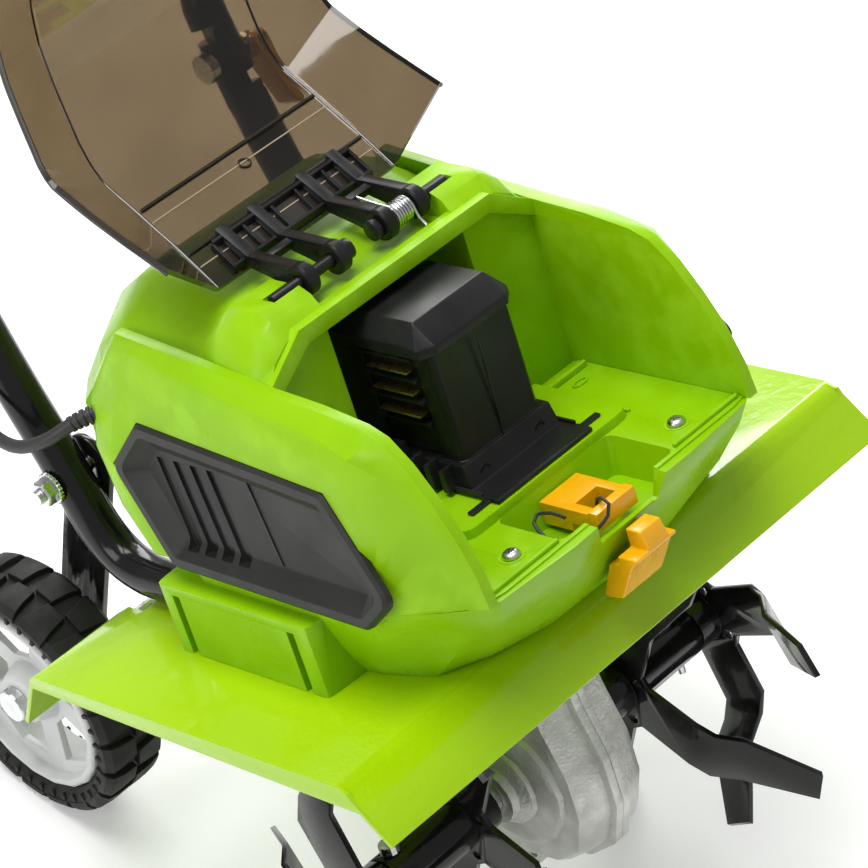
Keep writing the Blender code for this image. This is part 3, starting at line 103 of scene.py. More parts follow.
# ---------------------------------------------------------------- materials
class Paint:
    """A node material put together step by step around one Principled shader."""

    def __init__(self, name, roughness, metallic=0.0, coat=0.0, coat_roughness=0.05, specular=0.5):
        self.material = bpy.data.materials.new(name)
        self.material.use_nodes = True
        self.nodes = self.material.node_tree.nodes
        self.links = self.material.node_tree.links
        self.shader = self.nodes["Principled BSDF"]
        self.shader.inputs["Metallic"].default_value = metallic
        self.shader.inputs["Roughness"].default_value = roughness
        self.shader.inputs["Specular IOR Level"].default_value = specular
        self.shader.inputs["Coat Weight"].default_value = coat
        self.shader.inputs["Coat Roughness"].default_value = coat_roughness
        self.place = self.nodes.new("ShaderNodeTexCoord").outputs["Object"]

    def noise(self, scale, detail=3.0, stretch=None):
        place = self.place
        if stretch:
            mapping = self.nodes.new("ShaderNodeMapping")
            mapping.inputs["Scale"].default_value = stretch
            self.links.new(place, mapping.inputs["Vector"])
            place = mapping.outputs["Vector"]
        noise = self.nodes.new("ShaderNodeTexNoise")
        noise.inputs["Scale"].default_value = scale
        noise.inputs["Detail"].default_value = detail
        self.links.new(place, noise.inputs["Vector"])
        return noise.outputs["Fac"]

    def cells(self, scale):
        cells = self.nodes.new("ShaderNodeTexVoronoi")
        cells.inputs["Scale"].default_value = scale
        self.links.new(self.place, cells.inputs["Vector"])
        return cells.outputs["Distance"]

    def span(self, value, low, high, out_low, out_high):
        span = self.nodes.new("ShaderNodeMapRange")
        sockets = ("From Min", "From Max", "To Min", "To Max")
        for socket, number in zip(sockets, (low, high, out_low, out_high)):
            span.inputs[socket].default_value = number
        self.links.new(value, span.inputs["Value"])
        return span.outputs["Result"]

    def blend(self, share, first, second):
        mix = self.nodes.new("ShaderNodeMix")
        mix.data_type = "RGBA"
        self.links.new(share, mix.inputs["Factor"])
        for socket, colour in ((6, first), (7, second)):
            if isinstance(colour, tuple):
                mix.inputs[socket].default_value = (*colour, 1.0)
            else:
                self.links.new(colour, mix.inputs[socket])
        return mix.outputs[2]

    def worn(self, low=0.51, high=0.56):
        """Share of edge wear, from how convex the surface is, broken up by noise."""
        edges = self.span(self.nodes.new("ShaderNodeNewGeometry").outputs["Pointiness"], low, high, 0.0, 1.0)
        patch = self.span(self.noise(60.0, 5.0), 0.42, 0.62, 0.0, 1.0)
        times = self.nodes.new("ShaderNodeMath")
        times.operation = "MULTIPLY"
        self.links.new(edges, times.inputs[0])
        self.links.new(patch, times.inputs[1])
        return times.outputs[0]

    def colour(self, value):
        self.links.new(value, self.shader.inputs["Base Color"])
        return self

    def rough(self, value):
        self.links.new(value, self.shader.inputs["Roughness"])
        return self

    def bump(self, *heights):
        """Bumps of (height value, distance in metres, strength), laid one on the other."""
        normal = None
        for height, distance, strength in heights:
            bump = self.nodes.new("ShaderNodeBump")
            bump.inputs["Distance"].default_value = distance
            bump.inputs["Strength"].default_value = strength
            self.links.new(height, bump.inputs["Height"])
            if normal:
                self.links.new(normal, bump.inputs["Normal"])
            normal = bump.outputs["Normal"]
        self.links.new(normal, self.shader.inputs["Normal"])
        return self


def moulded(name, light, dark, roughness, grain, coat=0.0, specular=0.5):
    """Injection-moulded plastic: faint flow mottling, fine grain and rubbed edges."""
    paint = Paint(name, roughness, coat=coat, specular=specular)
    mottle = paint.span(paint.noise(14.0, 4.0), 0.35, 0.65, 0.0, 1.0)
    base = paint.blend(mottle, dark, light)
    pale = tuple(min(1.0, channel * 1.25 + 0.02) for channel in light)
    paint.colour(paint.blend(paint.span(paint.worn(), 0.0, 1.0, 0.0, 0.45), base, pale))
    paint.rough(paint.span(paint.noise(45.0, 5.0), 0.3, 0.7, roughness - 0.05, roughness + 0.07))
    paint.bump((paint.noise(1500.0, 2.0), 0.0004, grain), (paint.noise(30.0, 2.0), 0.004, 0.05))
    return paint


def build_materials():
    looks = {}
    lime = moulded("lime plastic", (0.262, 0.515, 0.0012), (0.238, 0.485, 0.001), 0.30, 0.05, 0.0, 0.22)
    lime.shader.inputs["Subsurface Weight"].default_value = 0.04
    lime.shader.inputs["Subsurface Radius"].default_value = (0.003, 0.005, 0.001)
    lime.shader.inputs["Subsurface Scale"].default_value = 0.5
    looks["lime_plastic"] = lime

    deck = Paint("lime powder coat", 0.20, coat=0.45, coat_roughness=0.07, specular=0.22)
    mottle = deck.span(deck.noise(9.0, 3.0), 0.35, 0.65, 0.0, 1.0)
    deck.colour(deck.blend(mottle, (0.325, 0.560, 0.001), (0.350, 0.585, 0.0015)))
    deck.rough(deck.span(deck.noise(60.0, 4.0), 0.3, 0.7, 0.17, 0.26))
    deck.bump((deck.noise(190.0, 1.5), 0.0015, 0.16), (deck.noise(620.0, 2.0), 0.0005, 0.10))
    looks["lime_paint"] = deck

    looks["black_plastic"] = moulded("black plastic", (0.013, 0.013, 0.013), (0.009, 0.009, 0.009),
                                     0.34, 0.14, 0.0, 0.22)
    looks["vent_plastic"] = moulded("textured black plastic", (0.020, 0.020, 0.017), (0.013, 0.013, 0.012),
                                    0.42, 0.30, 0.0, 0.34)
    looks["amber_plastic"] = moulded("amber plastic", (0.900, 0.430, 0.002), (0.830, 0.370, 0.0015),
                                     0.28, 0.06, 0.15)
    looks["grey_plastic"] = moulded("grey plastic", (0.560, 0.570, 0.560), (0.490, 0.500, 0.490), 0.40, 0.10)

    smoke = Paint("smoked clear plastic", 0.03)
    smoke.shader.inputs["Transmission Weight"].default_value = 1.0
    smoke.shader.inputs["IOR"].default_value = 1.49
    haze = smoke.span(smoke.noise(18.0, 4.0), 0.35, 0.65, 0.0, 1.0)
    smoke.colour(smoke.blend(haze, (0.100, 0.070, 0.036), (0.118, 0.084, 0.045)))
    smoke.rough(smoke.span(smoke.noise(70.0, 5.0), 0.4, 0.8, 0.015, 0.07))
    smoke.bump((smoke.noise(25.0, 2.0), 0.002, 0.05))
    looks["smoke_clear"] = smoke

    # Painted highlight: a pale opaque colour for thin lines under the smoked lid, in place of light caught
    # along its bends.
    edge = Paint("smoked lid, painted highlight", 0.10, coat=0.6)
    edge.colour(edge.blend(edge.noise(30.0), (0.420, 0.330, 0.230), (0.520, 0.420, 0.300)))
    edge.bump((edge.noise(200.0), 0.0005, 0.05))
    looks["smoke_painted_highlight"] = edge

    dark = Paint("smoked rim", 0.08, coat=0.5)
    dark.colour(dark.blend(dark.noise(30.0), (0.022, 0.018, 0.014), (0.034, 0.028, 0.022)))
    dark.bump((dark.noise(200.0), 0.0005, 0.05))
    looks["smoke_rim"] = dark

    black = Paint("black gloss paint", 0.16, coat=0.25, coat_roughness=0.05, specular=0.22)
    black.colour(black.blend(black.worn(0.53, 0.60), (0.006, 0.006, 0.006), (0.024, 0.023, 0.021)))
    black.rough(black.span(black.noise(50.0, 5.0), 0.3, 0.7, 0.12, 0.24))
    black.bump((black.noise(260.0, 2.0), 0.0008, 0.12))
    looks["black_paint"] = black

    cast = Paint("sand-cast aluminium", 0.50, metallic=0.75)
    tone = cast.span(cast.noise(40.0, 8.0), 0.3, 0.7, 0.0, 1.0)
    cast.colour(cast.blend(tone, (0.460, 0.465, 0.435), (0.680, 0.685, 0.650)))
    cast.rough(cast.span(cast.noise(120.0, 6.0), 0.3, 0.7, 0.42, 0.66))
    cast.bump((cast.cells(520.0), 0.0007, 0.35), (cast.noise(900.0, 6.0), 0.0005, 0.5))
    looks["cast_aluminium"] = cast

    zinc = Paint("bright zinc plate", 0.26, metallic=1.0)
    zinc.colour(zinc.blend(zinc.span(zinc.noise(90.0, 4.0), 0.35, 0.65, 0.0, 1.0),
                           (0.560, 0.570, 0.580), (0.760, 0.765, 0.760)))
    zinc.rough(zinc.span(zinc.noise(220.0, 5.0), 0.3, 0.7, 0.18, 0.38))
    zinc.bump((zinc.noise(700.0, 3.0), 0.0003, 0.18))
    looks["zinc_steel"] = zinc

    blued = Paint("blackened steel", 0.36, metallic=0.4, specular=0.4)
    blued.colour(blued.blend(blued.noise(80.0, 4.0), (0.012, 0.012, 0.013), (0.026, 0.025, 0.025)))
    blued.bump((blued.noise(500.0, 3.0), 0.0003, 0.15))
    looks["black_steel"] = blued

    brass = Paint("rolled brass", 0.28, metallic=1.0)
    brass.colour(brass.blend(brass.noise(80.0, 4.0), (0.560, 0.400, 0.150), (0.740, 0.560, 0.260)))
    brass.rough(brass.span(brass.noise(200.0, 4.0, (1, 12, 1)), 0.3, 0.7, 0.22, 0.40))
    brass.bump((brass.noise(400.0, 2.0, (1, 14, 1)), 0.0003, 0.12))
    looks["brass"] = brass

    tyre = Paint("tyre rubber", 0.62, specular=0.25)
    dust = tyre.span(tyre.noise(35.0, 6.0), 0.5, 0.75, 0.0, 0.35)
    tyre.colour(tyre.blend(dust, (0.013, 0.013, 0.012), (0.034, 0.032, 0.028)))
    tyre.rough(tyre.span(tyre.noise(90.0, 5.0), 0.3, 0.7, 0.52, 0.74))
    tyre.bump((tyre.noise(900.0, 4.0), 0.0005, 0.35), (tyre.noise(120.0, 3.0), 0.001, 0.12))
    looks["tyre_rubber"] = tyre

    foam = Paint("foam sleeve", 0.85)
    foam.colour(foam.blend(foam.cells(900.0), (0.016, 0.016, 0.016), (0.040, 0.040, 0.039)))
    foam.bump((foam.cells(900.0), 0.0006, 0.6), (foam.noise(60.0), 0.002, 0.15))
    looks["foam_rubber"] = foam

    cord = Paint("cable jacket", 0.48)
    cord.colour(cord.blend(cord.noise(60.0, 4.0), (0.016, 0.016, 0.016), (0.034, 0.033, 0.032)))
    cord.bump((cord.noise(500.0, 3.0), 0.0004, 0.2))
    looks["cord_rubber"] = cord

    floor = Paint("studio floor", 0.55)
    floor.colour(floor.blend(floor.noise(3.0), (0.895, 0.895, 0.895), (0.915, 0.915, 0.915)))
    floor.shader.inputs["Emission Color"].default_value = (1.0, 1.0, 1.0, 1.0)
    floor.shader.inputs["Emission Strength"].default_value = 0.22
    floor.bump((floor.noise(40.0), 0.001, 0.02))
    looks["floor"] = floor
    return {name: paint.material for name, paint in looks.items()}


# ---------------------------------------------------------------- mesh tools
def shade(mesh, sharp):
    mesh.shade_smooth()
    mesh.set_sharp_from_angle(angle=radians(sharp))


def finish_piece(name, mesh, body, look_name, nodes=(), bevel=0.0, steps=2, limit=30.0):
    """Link a piece, round its edges, and set it on its body."""
    piece = bpy.data.objects.new(name, mesh)
    bpy.context.scene.collection.objects.link(piece)
    mesh.materials.clear()
    mesh.materials.append(LOOKS[look_name])
    if bevel:
        rounding = piece.modifiers.new("rounding", "BEVEL")
        rounding.width = bevel * MM
        rounding.segments = steps
        rounding.limit_method = "ANGLE"
        rounding.angle_limit = radians(limit)
        rounding.miter_outer = "MITER_ARC"
        rounding.harden_normals = True
        rounding.use_clamp_overlap = True
        mesh.shade_smooth()
    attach(piece, body)
    if nodes:
        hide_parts(*nodes)
    return piece


def own_mesh(name, points, faces, sharp=35, own=OWN):
    """A mesh from points in the machine's own frame, in millimetres."""
    mesh = bpy.data.meshes.new(name)
    work = bmesh.new()
    verts = [work.verts.new(own @ Vector(point)) for point in points]
    for face in faces:
        work.faces.new([verts[index] for index in face])
    bmesh.ops.recalc_face_normals(work, faces=work.faces)
    if work.calc_volume(signed=True) < 0:
        bmesh.ops.reverse_faces(work, faces=work.faces)
    work.to_mesh(mesh)
    work.free()
    shade(mesh, sharp)
    return mesh


def refined(node, look_name, bevel, steps, flat):
    """The solid of a node with flat areas joined into single faces and its edges rounded."""
    source = frame["nodes"][node]
    mesh = source.data.copy()
    mesh.name = node + "_skin"
    work = bmesh.new()
    work.from_mesh(mesh)
    bmesh.ops.remove_doubles(work, verts=work.verts, dist=0.00001)
    bmesh.ops.dissolve_limit(work, angle_limit=radians(flat), verts=work.verts, edges=work.edges)
    bmesh.ops.recalc_face_normals(work, faces=work.faces)
    work.to_mesh(mesh)
    work.free()
    body = source["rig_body"]
    if not bevel:
        shade(mesh, 35)
    return finish_piece(node + "_skin", mesh, body, look_name, (node,), bevel, steps)


def carved(mesh, shape):
    """The mesh with a closed shape taken away."""
    first = bpy.data.objects.new("carve_target", mesh)
    second = bpy.data.objects.new("carve_tool", own_mesh("carve_tool", *shape))
    for obj in (first, second):
        bpy.context.scene.collection.objects.link(obj)
    modifier = first.modifiers.new("carve", "BOOLEAN")
    modifier.operation = "DIFFERENCE"
    modifier.object = second
    bpy.context.view_layer.update()
    result = bpy.data.meshes.new_from_object(first.evaluated_get(bpy.context.evaluated_depsgraph_get()))
    bpy.data.objects.remove(first)
    bpy.data.objects.remove(second)
    return result


def loft(rings, capped=True):
    count = len(rings[0])
    points = [point for ring in rings for point in ring]
    faces = []
    spans = len(rings) - 1 if capped else len(rings)
    for level in range(spans):
        low, high = level * count, (level + 1) % len(rings) * count
        for i in range(count):
            j = (i + 1) % count
            faces.append((low + i, low + j, high + j, high + i))
    if capped:
        faces.append(tuple(reversed(range(count))))
        faces.append(tuple(range((len(rings) - 1) * count, len(rings) * count)))
    return points, faces


def along_x(outline, *stations):
    return loft([[(x, y, z) for y, z in outline] for x in stations])


def along_z(outline, *stations):
    return loft([[(x, y, z) for x, y in outline] for z in stations])


def box(x0, x1, y0, y1, z0, z1):
    return along_z([(x0, y0), (x1, y0), (x1, y1), (x0, y1)], z0, z1)


def circle(cx, cy, radius, sides):
    return [(cx + radius * cos(2 * pi * i / sides), cy + radius * sin(2 * pi * i / sides))
            for i in range(sides)]


def turned(profile, sides, y, z, side=1, closed=False):
    """A solid turned about an X axis from (radius, x) pairs; a closed profile is a ring."""
    rings = [[(side * x, py, pz) for py, pz in circle(y, z, radius, sides)] for radius, x in profile]
    return loft(rings, capped=not closed)


def upright(profile, sides, x, y):
    return loft([[(px, py, z) for px, py in circle(x, y, radius, sides)] for radius, z in profile])


def smooth_path(points, spacing):
    route = [Vector(point) for point in points]
    full = [route[0] * 2 - route[1]] + route + [route[-1] * 2 - route[-2]]
    result = []
    for i in range(1, len(full) - 2):
        a, b, c, d = full[i - 1:i + 3]
        count = max(1, round((c - b).length / spacing))
        for step in range(count):
            t = step / count
            result.append(0.5 * (b * 2 + (c - a) * t + (a * 2 - b * 5 + c * 4 - d) * t * t
                                 + (b * 3 - a - c * 3 + d) * t ** 3))
    result.append(route[-1])
    return result


def pipe(path, radius, sides, ends=None):
    """A round rod along a path; ends shortens the first and last radius for a soft end."""
    places = [Vector(point) for point in path]
    rings, cross = [], None
    for i, point in enumerate(places):
        ahead = (places[min(i + 1, len(places) - 1)] - places[max(i - 1, 0)]).normalized()
        if cross is None:
            seed = Vector((1, 0, 0)) if abs(ahead.x) < 0.9 else Vector((0, 1, 0))
            cross = seed
        cross = (cross - ahead * cross.dot(ahead)).normalized()
        other = ahead.cross(cross)
        reach = radius * (ends if ends and i in (0, len(places) - 1) else 1.0)
        angles = [2 * pi * k / sides for k in range(sides)]
        rings.append([point + cross * reach * cos(a) + other * reach * sin(a) for a in angles])
    return loft(rings)


def joined(*shapes):
    points, faces = [], []
    for shape_points, shape_faces in shapes:
        base = len(points)
        points.extend(shape_points)
        faces.extend(tuple(base + index for index in face) for face in shape_faces)
    return points, faces


def piece(name, shape, body, look_name, nodes=(), bevel=0.0, steps=2, limit=30.0, sharp=35):
    mesh = own_mesh(name, shape[0], shape[1], sharp)
    return finish_piece(name, mesh, body, look_name, nodes, bevel, steps, limit)


def inset(outline, amount):
    """The outline drawn in by an amount along its own edge normals."""
    area = sum(a[0] * b[1] - b[0] * a[1] for a, b in zip(outline, outline[1:] + outline[:1]))
    sign = 1 if area > 0 else -1
    result = []
    count = len(outline)
    for i in range(count):
        here = Vector(outline[i])
        back = (here - Vector(outline[i - 1])).normalized()
        ahead = (Vector(outline[(i + 1) % count]) - here).normalized()
        one = Vector((-back.y, back.x)) * sign
        two = Vector((-ahead.y, ahead.x)) * sign
        turn = one + two
        shift = turn * (amount / max(0.15, 1 + one.dot(two)))
        result.append((here.x + shift.x, here.y + shift.y))
    return result


# ---------------------------------------------------------------- stage
def build_stage():
    mesh = bpy.data.meshes.new("studio_floor")
    work = bmesh.new()
    bmesh.ops.create_grid(work, x_segments=4, y_segments=4, size=14.0)
    work.to_mesh(mesh)
    work.free()
    floor = bpy.data.objects.new("studio_floor", mesh)
    bpy.context.scene.collection.objects.link(floor)
    mesh.materials.append(LOOKS["floor"])


def build_lights():
    world = bpy.data.worlds.new("studio")
    world.use_nodes = True
    background = world.node_tree.nodes["Background"]
    background.inputs["Color"].default_value = (1.0, 1.0, 1.0, 1.0)
    background.inputs["Strength"].default_value = WORLD_STRENGTH
    bpy.context.scene.world = world
    lights = (("softbox_top", (-0.2, 0.3, 2.5), (0.0, -0.15, 0.3), 1.6, 1.2, 50.0, 0.0),
              ("softbox_back", (0.992, 0.909, 0.94), (0.0, -0.38, 0.28), 1.2, 0.6, 20.0, 15.0),
              ("softbox_left", (-2.2, 0.2, 1.3), (0.0, -0.15, 0.3), 1.0, 1.3, 15.0, 0.0))
    for name, place, target, width, height, power, roll in lights:
        data = bpy.data.lights.new(name, "AREA")
        data.shape = "RECTANGLE"
        data.size = width
        data.size_y = height
        data.energy = power
        light = bpy.data.objects.new(name, data)
        bpy.context.scene.collection.objects.link(light)
        aim = Vector(target) - Vector(place)
        light.matrix_world = look(Vector(place), aim, (0, 0, 1)) @ Matrix.Rotation(radians(roll), 4, "Z")
    view = bpy.context.scene.view_settings
    view.view_transform = "Standard"
    view.exposure = 0.0


# ---------------------------------------------------------------- housing details
SIDE_NORMAL = (0.975, 0.221)
VENT = [(179, 65), (50, 55), (12, 11), (30, -5), (165, -3), (202, 41)]


def on_side(side, y, z, depth):
    """A point above the housing's leaning side face, depth out along its normal."""
    reach = 102 + (87 - z) * 0.227
    return (side * (reach + depth * SIDE_NORMAL[0]), y, z + depth * SIDE_NORMAL[1])


def rounded(outline, radius, steps=3):
    result = []
    count = len(outline)
    for i, (x, y) in enumerate(outline):
        here = Vector((x, y))
        back = Vector(outline[i - 1]) - here
        ahead = Vector(outline[(i + 1) % count]) - here
        half = back.angle(ahead) / 2
        reach = min(radius / abs(sin(half) / cos(half)), back.length * 0.49, ahead.length * 0.49)
        start, end = here + back.normalized() * reach, here + ahead.normalized() * reach
        for step in range(steps + 1):
            t = step / steps
            point = start * (1 - t) ** 2 + here * 2 * t * (1 - t) + end * t * t
            result.append((point.x, point.y))
    return result


def plate_on_side(side, outline, low, high):
    return loft([[on_side(side, y, z, depth) for y, z in outline] for depth in (low, high)])


def build_vent(side, label):
    """Vent panel: raised frame, dished panel, slanted louvre slots and a stepped lower edge, with a dark
    sheet behind the slots as painted shade.
    """
    levels = [(5.6, -8.8), (5.6, -2.7), (0.0, -2.7), (0.0, 0.6), (1.6, 2.2), (5.5, 2.2), (13.0, -6.0),
              (14.0, -6.4)]
    rings = [[on_side(side, y, z, depth) for y, z in rounded(inset(VENT, amount), 7 - amount * 0.2, 4)]
             for amount, depth in levels]
    mesh = own_mesh("vent", *loft(rings))
    for step in range(4):
        middle = 166 - step * 12.0
        slot = [(middle - 17, 6), (middle - 9, 6), (middle + 10, 47), (middle + 2, 47)]
        mesh = carved(mesh, plate_on_side(side, slot, -7.9, 4))
    finish_piece("vent_" + label + "_skin", mesh, "chassis", "vent_plastic", ("vent_panel_" + label,),
                 0.7, 2, 32)
    seam = [(92, 10), (93.2, 10), (112.7, 49), (111.5, 49)]
    piece("vent_" + label + "_seam", plate_on_side(side, seam, -6.6, -5.7), "chassis", "vent_plastic")
    # Painted shade: a dark sheet behind the slots, in place of the shade inside the housing.
    painted_shade_sheet = [(150, 4), (112, 4), (130, 49), (176, 49)]
    piece("vent_" + label + "_backing", plate_on_side(side, painted_shade_sheet, -8.4, -7.8), "chassis", "black_steel")


def build_bay_details():
    """Ribs, ovals and rails moulded on the bay floor, and the seam on its back wall."""
    for side, label in ((-1, "left"), (1, "right")):
        rail = [(58.5, 82.6), (85.5, 82.6), (85.5, 85.0), (58.5, 85.0)]
        outline = [(side * x, y) for x, y in rail]
        piece("bay_rail_" + label, along_z(outline, -0.2, 3.4), "chassis", "lime_plastic", (), 0.9, 3)
        oval = [(side * (71 + 5.2 * cos(a * pi / 12)), 74.5 + 2.8 * sin(a * pi / 12)) for a in range(24)]
        inner = [(side * (71 + 4.0 * cos(a * pi / 12)), 74.5 + 1.7 * sin(a * pi / 12)) for a in range(24)]
        rings = [[(x, y, -0.2) for x, y in oval], [(x, y, 1.0) for x, y in oval],
                 [(x, y, 1.0) for x, y in inner], [(x, y, -0.2) for x, y in inner]]
        piece("bay_oval_" + label, loft(rings, capped=False), "chassis", "lime_plastic", (), 0.25)
        lip = [(side * x, y) for x, y in ((40.5, -14.6), (86.5, -14.6), (86.5, -12.2), (40.5, -12.2))]
        piece("bay_lip_" + label, along_z(lip, -0.3, 2.2), "chassis", "lime_plastic", (), 0.9, 3)
        guide = [(side * x, y) for x, y in ((57.4, 30.5), (59.4, 30.5), (59.4, 80), (57.4, 80))]
        piece("bay_guide_" + label, along_z(guide, -0.2, 1.6), "chassis", "lime_plastic", (), 0.6, 2)
        boss = circle(side * SCREW_X, 0, 6.4, 32)
        seat = circle(side * SCREW_X, 0, 4.9, 32)
        rings = [[(x, y, -0.2) for x, y in boss], [(x, y, 0.25) for x, y in boss],
                 [(x, y, 0.25) for x, y in seat], [(x, y, -0.2) for x, y in seat]]
        piece("screw_seat_" + label, loft(rings, capped=False), "chassis", "lime_plastic")


def build_receptacle_details():
    """Combs, slot ribs, a side clip and pin holes on the battery receptacle."""
    for index in range(5):
        y = 57.5 + index * 9.5
        comb = along_x([(y, 7), (y + 4.6, 7), (y + 4.2, 19 + index * 1.3), (y + 0.8, 20 + index * 1.3)],
                       -36.5, -29)
        piece("comb_%d" % (index + 1), comb, "chassis", "black_plastic", (), 0.5)
    for index, z in enumerate((38.0, 50.0, 61.7, 73.0)):
        shelf = box(-29.0, -21.9, 66.4, 101.6, z - 0.9, z + 0.9)
        piece("contact_shelf_%d" % (index + 1), shelf, "chassis", "black_plastic", (), 0.35)
    wall = box(-24.6, -21.8, 66.4, 101.6, 20, 79)
    piece("contact_wall", wall, "chassis", "black_plastic", (), 0.3)
    for side, label in ((-1, "left"), (1, "right")):
        clip = along_x([(84, 7), (96, 7), (94, 27), (86, 27)], *sorted((side * 30, side * 35.5)))
        piece("clip_" + label, clip, "chassis", "black_plastic", (), 0.6)
        rib = box(*sorted((side * 31.5, side * 33.2)), 40, 120, 7.2, 9.0)
        piece("plate_rib_" + label, rib, "chassis", "black_plastic", (), 0.4)
    ridge = along_x([(50.2, 70), (53.6, 12), (52.6, 12), (49.4, 70)], -0.35, 0.35)
    piece("parting_line", ridge, "chassis", "black_plastic")
    for index, x in enumerate((-19, 19)):
        rings = [[(px, y, pz) for px, pz in circle(x, 11.2, radius, 20)]
                 for radius, y in ((3.6, 50.6), (3.6, 49.2), (2.4, 49.2), (2.4, 50.6))]
        piece("foot_eyelet_%d" % (index + 1), loft(rings, capped=False), "chassis", "black_plastic")


# ---------------------------------------------------------------- lid and hinge
HINGE = Vector((0, 112, 114))
LID_OPEN = radians(158)
LID_OWN = OWN @ Matrix.Translation(HINGE) @ Matrix.Rotation(-LID_OPEN, 4, "X") @ Matrix.Translation(-HINGE)
LID_FOLD = [(77.7, 127.9), (54, 120.2), (36, 115.6), (21.5, 111.8), (4, 107.6), (-5, 101), (-12, 92),
            (-17.5, 82), (-27.1, 63.5), (-35.7, 42), (-38.5, 22), (-36.5, 2), (-31.5, -10)]
LID_RIM = [(79.6, 93.6), (60, 92.2), (48.7, 91.4), (27, 89), (6, 85), (1.5, 82), (-2.5, 77),
           (-6, 70), (-13.8, 54.5), (-21, 38), (-25.5, 20), (-28, 3), (-28.5, -8)]
LID_SKIN = 2.4


def lid_height(y):
    """Height of the lid's outer top above the machine's own floor at y, with the lid closed."""
    for (y1, z1), (y0, z0) in zip(LID_FOLD, LID_FOLD[1:]):
        if y0 <= y <= y1:
            return z0 + (z1 - z0) * (y - y0) / (y1 - y0)
    return LID_FOLD[0][1]


def lid_piece(name, shape, look_name, bevel=0.0, steps=2):
    mesh = own_mesh(name, shape[0], shape[1], 35, LID_OWN)
    return finish_piece(name, mesh, "lid", look_name, (), bevel, steps)


def build_lid():
    """Smoked visor: one folded sheet with soft bends, an even thickness and a dark cut edge."""
    rows = []
    for (fy, fz), (ry, rz) in zip(LID_FOLD, LID_RIM):
        rows.append([(-92.5, ry, rz), (-60, fy, fz), (60, fy, fz), (92.5, ry, rz)])
    mesh = bpy.data.meshes.new("lid_sheet")
    work = bmesh.new()
    grid = [[work.verts.new(LID_OWN @ Vector(point)) for point in row] for row in rows]
    for low, high in zip(grid, grid[1:]):
        for i in range(3):
            work.faces.new((low[i], low[i + 1], high[i + 1], high[i]))
    bmesh.ops.recalc_face_normals(work, faces=work.faces)
    top = max(work.faces, key=lambda face: face.calc_area())
    outward = (LID_OWN.to_3x3() @ Vector((0, -0.3, 1))).normalized()
    if top.normal.dot(outward) < 0:
        bmesh.ops.reverse_faces(work, faces=work.faces)
    work.to_mesh(mesh)
    work.free()
    lid = bpy.data.objects.new("lid_visor", mesh)
    bpy.context.scene.collection.objects.link(lid)
    mesh.materials.append(LOOKS["smoke_clear"])
    mesh.materials.append(LOOKS["smoke_rim"])
    bends = lid.modifiers.new("bends", "BEVEL")
    bends.width = 3.2 * MM
    bends.segments = 4
    bends.limit_method = "ANGLE"
    bends.angle_limit = radians(3)
    skin = lid.modifiers.new("skin", "SOLIDIFY")
    skin.thickness = LID_SKIN * MM
    skin.offset = -1.0
    skin.use_even_offset = True
    skin.use_rim = True
    skin.material_offset_rim = 1
    bpy.context.view_layer.update()
    lid.data = bpy.data.meshes.new_from_object(lid.evaluated_get(bpy.context.evaluated_depsgraph_get()))
    lid.modifiers.clear()
    shade(lid.data, 30)
    even = lid.modifiers.new("even_shading", "WEIGHTED_NORMAL")
    even.keep_sharp = True
    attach(lid, "lid")
    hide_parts("battery_lid")
    # Two dark ribs, then two thin lines whose pale colour is a painted highlight.
    for index, y in enumerate((58.0, 27.0, 65.5, 34.5)):
        z = lid_height(y) - LID_SKIN
        wide, deep = (0.75, 2.2) if index < 2 else (0.35, 0.7)
        rib = box(-58, 58, y - wide, y + wide, z - deep, z + 0.1)
        lid_piece("lid_rib_%d" % (index + 1), rib, "smoke_rim" if index < 2 else "smoke_painted_highlight", 0.3)
    z = lid_height(35.5) - LID_SKIN
    ring = [[(px, py, level) for px, py in circle(2, 35.5, radius, 32)]
            for radius, level in ((3.4, z + 0.2), (3.4, z - 1.0), (2.6, z - 1.0), (2.6, z + 0.2))]
    lid_piece("lid_gate_mark", loft(ring, capped=False), "smoke_rim")
    for side, label in ((-1, "left"), (1, "right")):
        edge = []
        for ry, rz in LID_RIM:
            edge.append((side * 91.7, ry + 0.2, rz + 1.0))
        lid_piece("lid_rim_" + label, pipe(smooth_path(edge, 5), 1.15, 8), "smoke_rim")


def build_painted_fold_shade():
    """Painted shade: dark lines where the visor's top bends down into its sides."""
    for side, label in ((-1, "left"), (1, "right")):
        line = [(side * 59.4, fy + 0.4, fz - LID_SKIN - 0.3) for fy, fz in LID_FOLD]
        lid_piece("lid_shade_line_" + label, pipe(smooth_path(line, 5), 0.7, 8), "smoke_rim")


def build_hinge_details():
    """Dark hinge plate with framed cells and eye bosses."""
    plate = [(60.5, 120.6), (76.5, 126.2), (76.5, 124.9), (60.5, 119.4)]
    lid_piece("hinge_plate", along_x(plate, -46, 46), "smoke_rim", 0.3)
    for index, (y0, y1) in enumerate(((60.5, 62.3), (75.5, 77.3))):
        z = lid_height(y0) - LID_SKIN
        bar = along_x([(y0, z), (y1, z + 0.5), (y1, z - 4.2), (y0, z - 4.7)], -46, 46)
        lid_piece("hinge_bar_%d" % (index + 1), bar, "black_plastic", 0.4)
    for index, x in enumerate((-46, -26.5, -8, 8, 26.5, 46)):
        web = along_x([(61, 120.8), (77, 126.0), (77, 121.5), (61, 116.4)], x - 0.8, x + 0.8)
        lid_piece("hinge_web_%d" % (index + 1), web, "black_plastic", 0.3)
    for side, label in ((-1, "left"), (1, "right")):
        for index, x in enumerate((16, 37)):
            rings = [(7.4, x - 3.6), (8.2, x - 2.6), (8.2, x + 2.6), (7.4, x + 3.6), (3.5, x + 3.6),
                     (3.5, x - 3.6)]
            shape = turned(rings, 36, HINGE.y, HINGE.z, side, closed=True)
            lid_piece("hinge_eye_%s_%d" % (label, index + 1), shape, "black_plastic", 0.4)


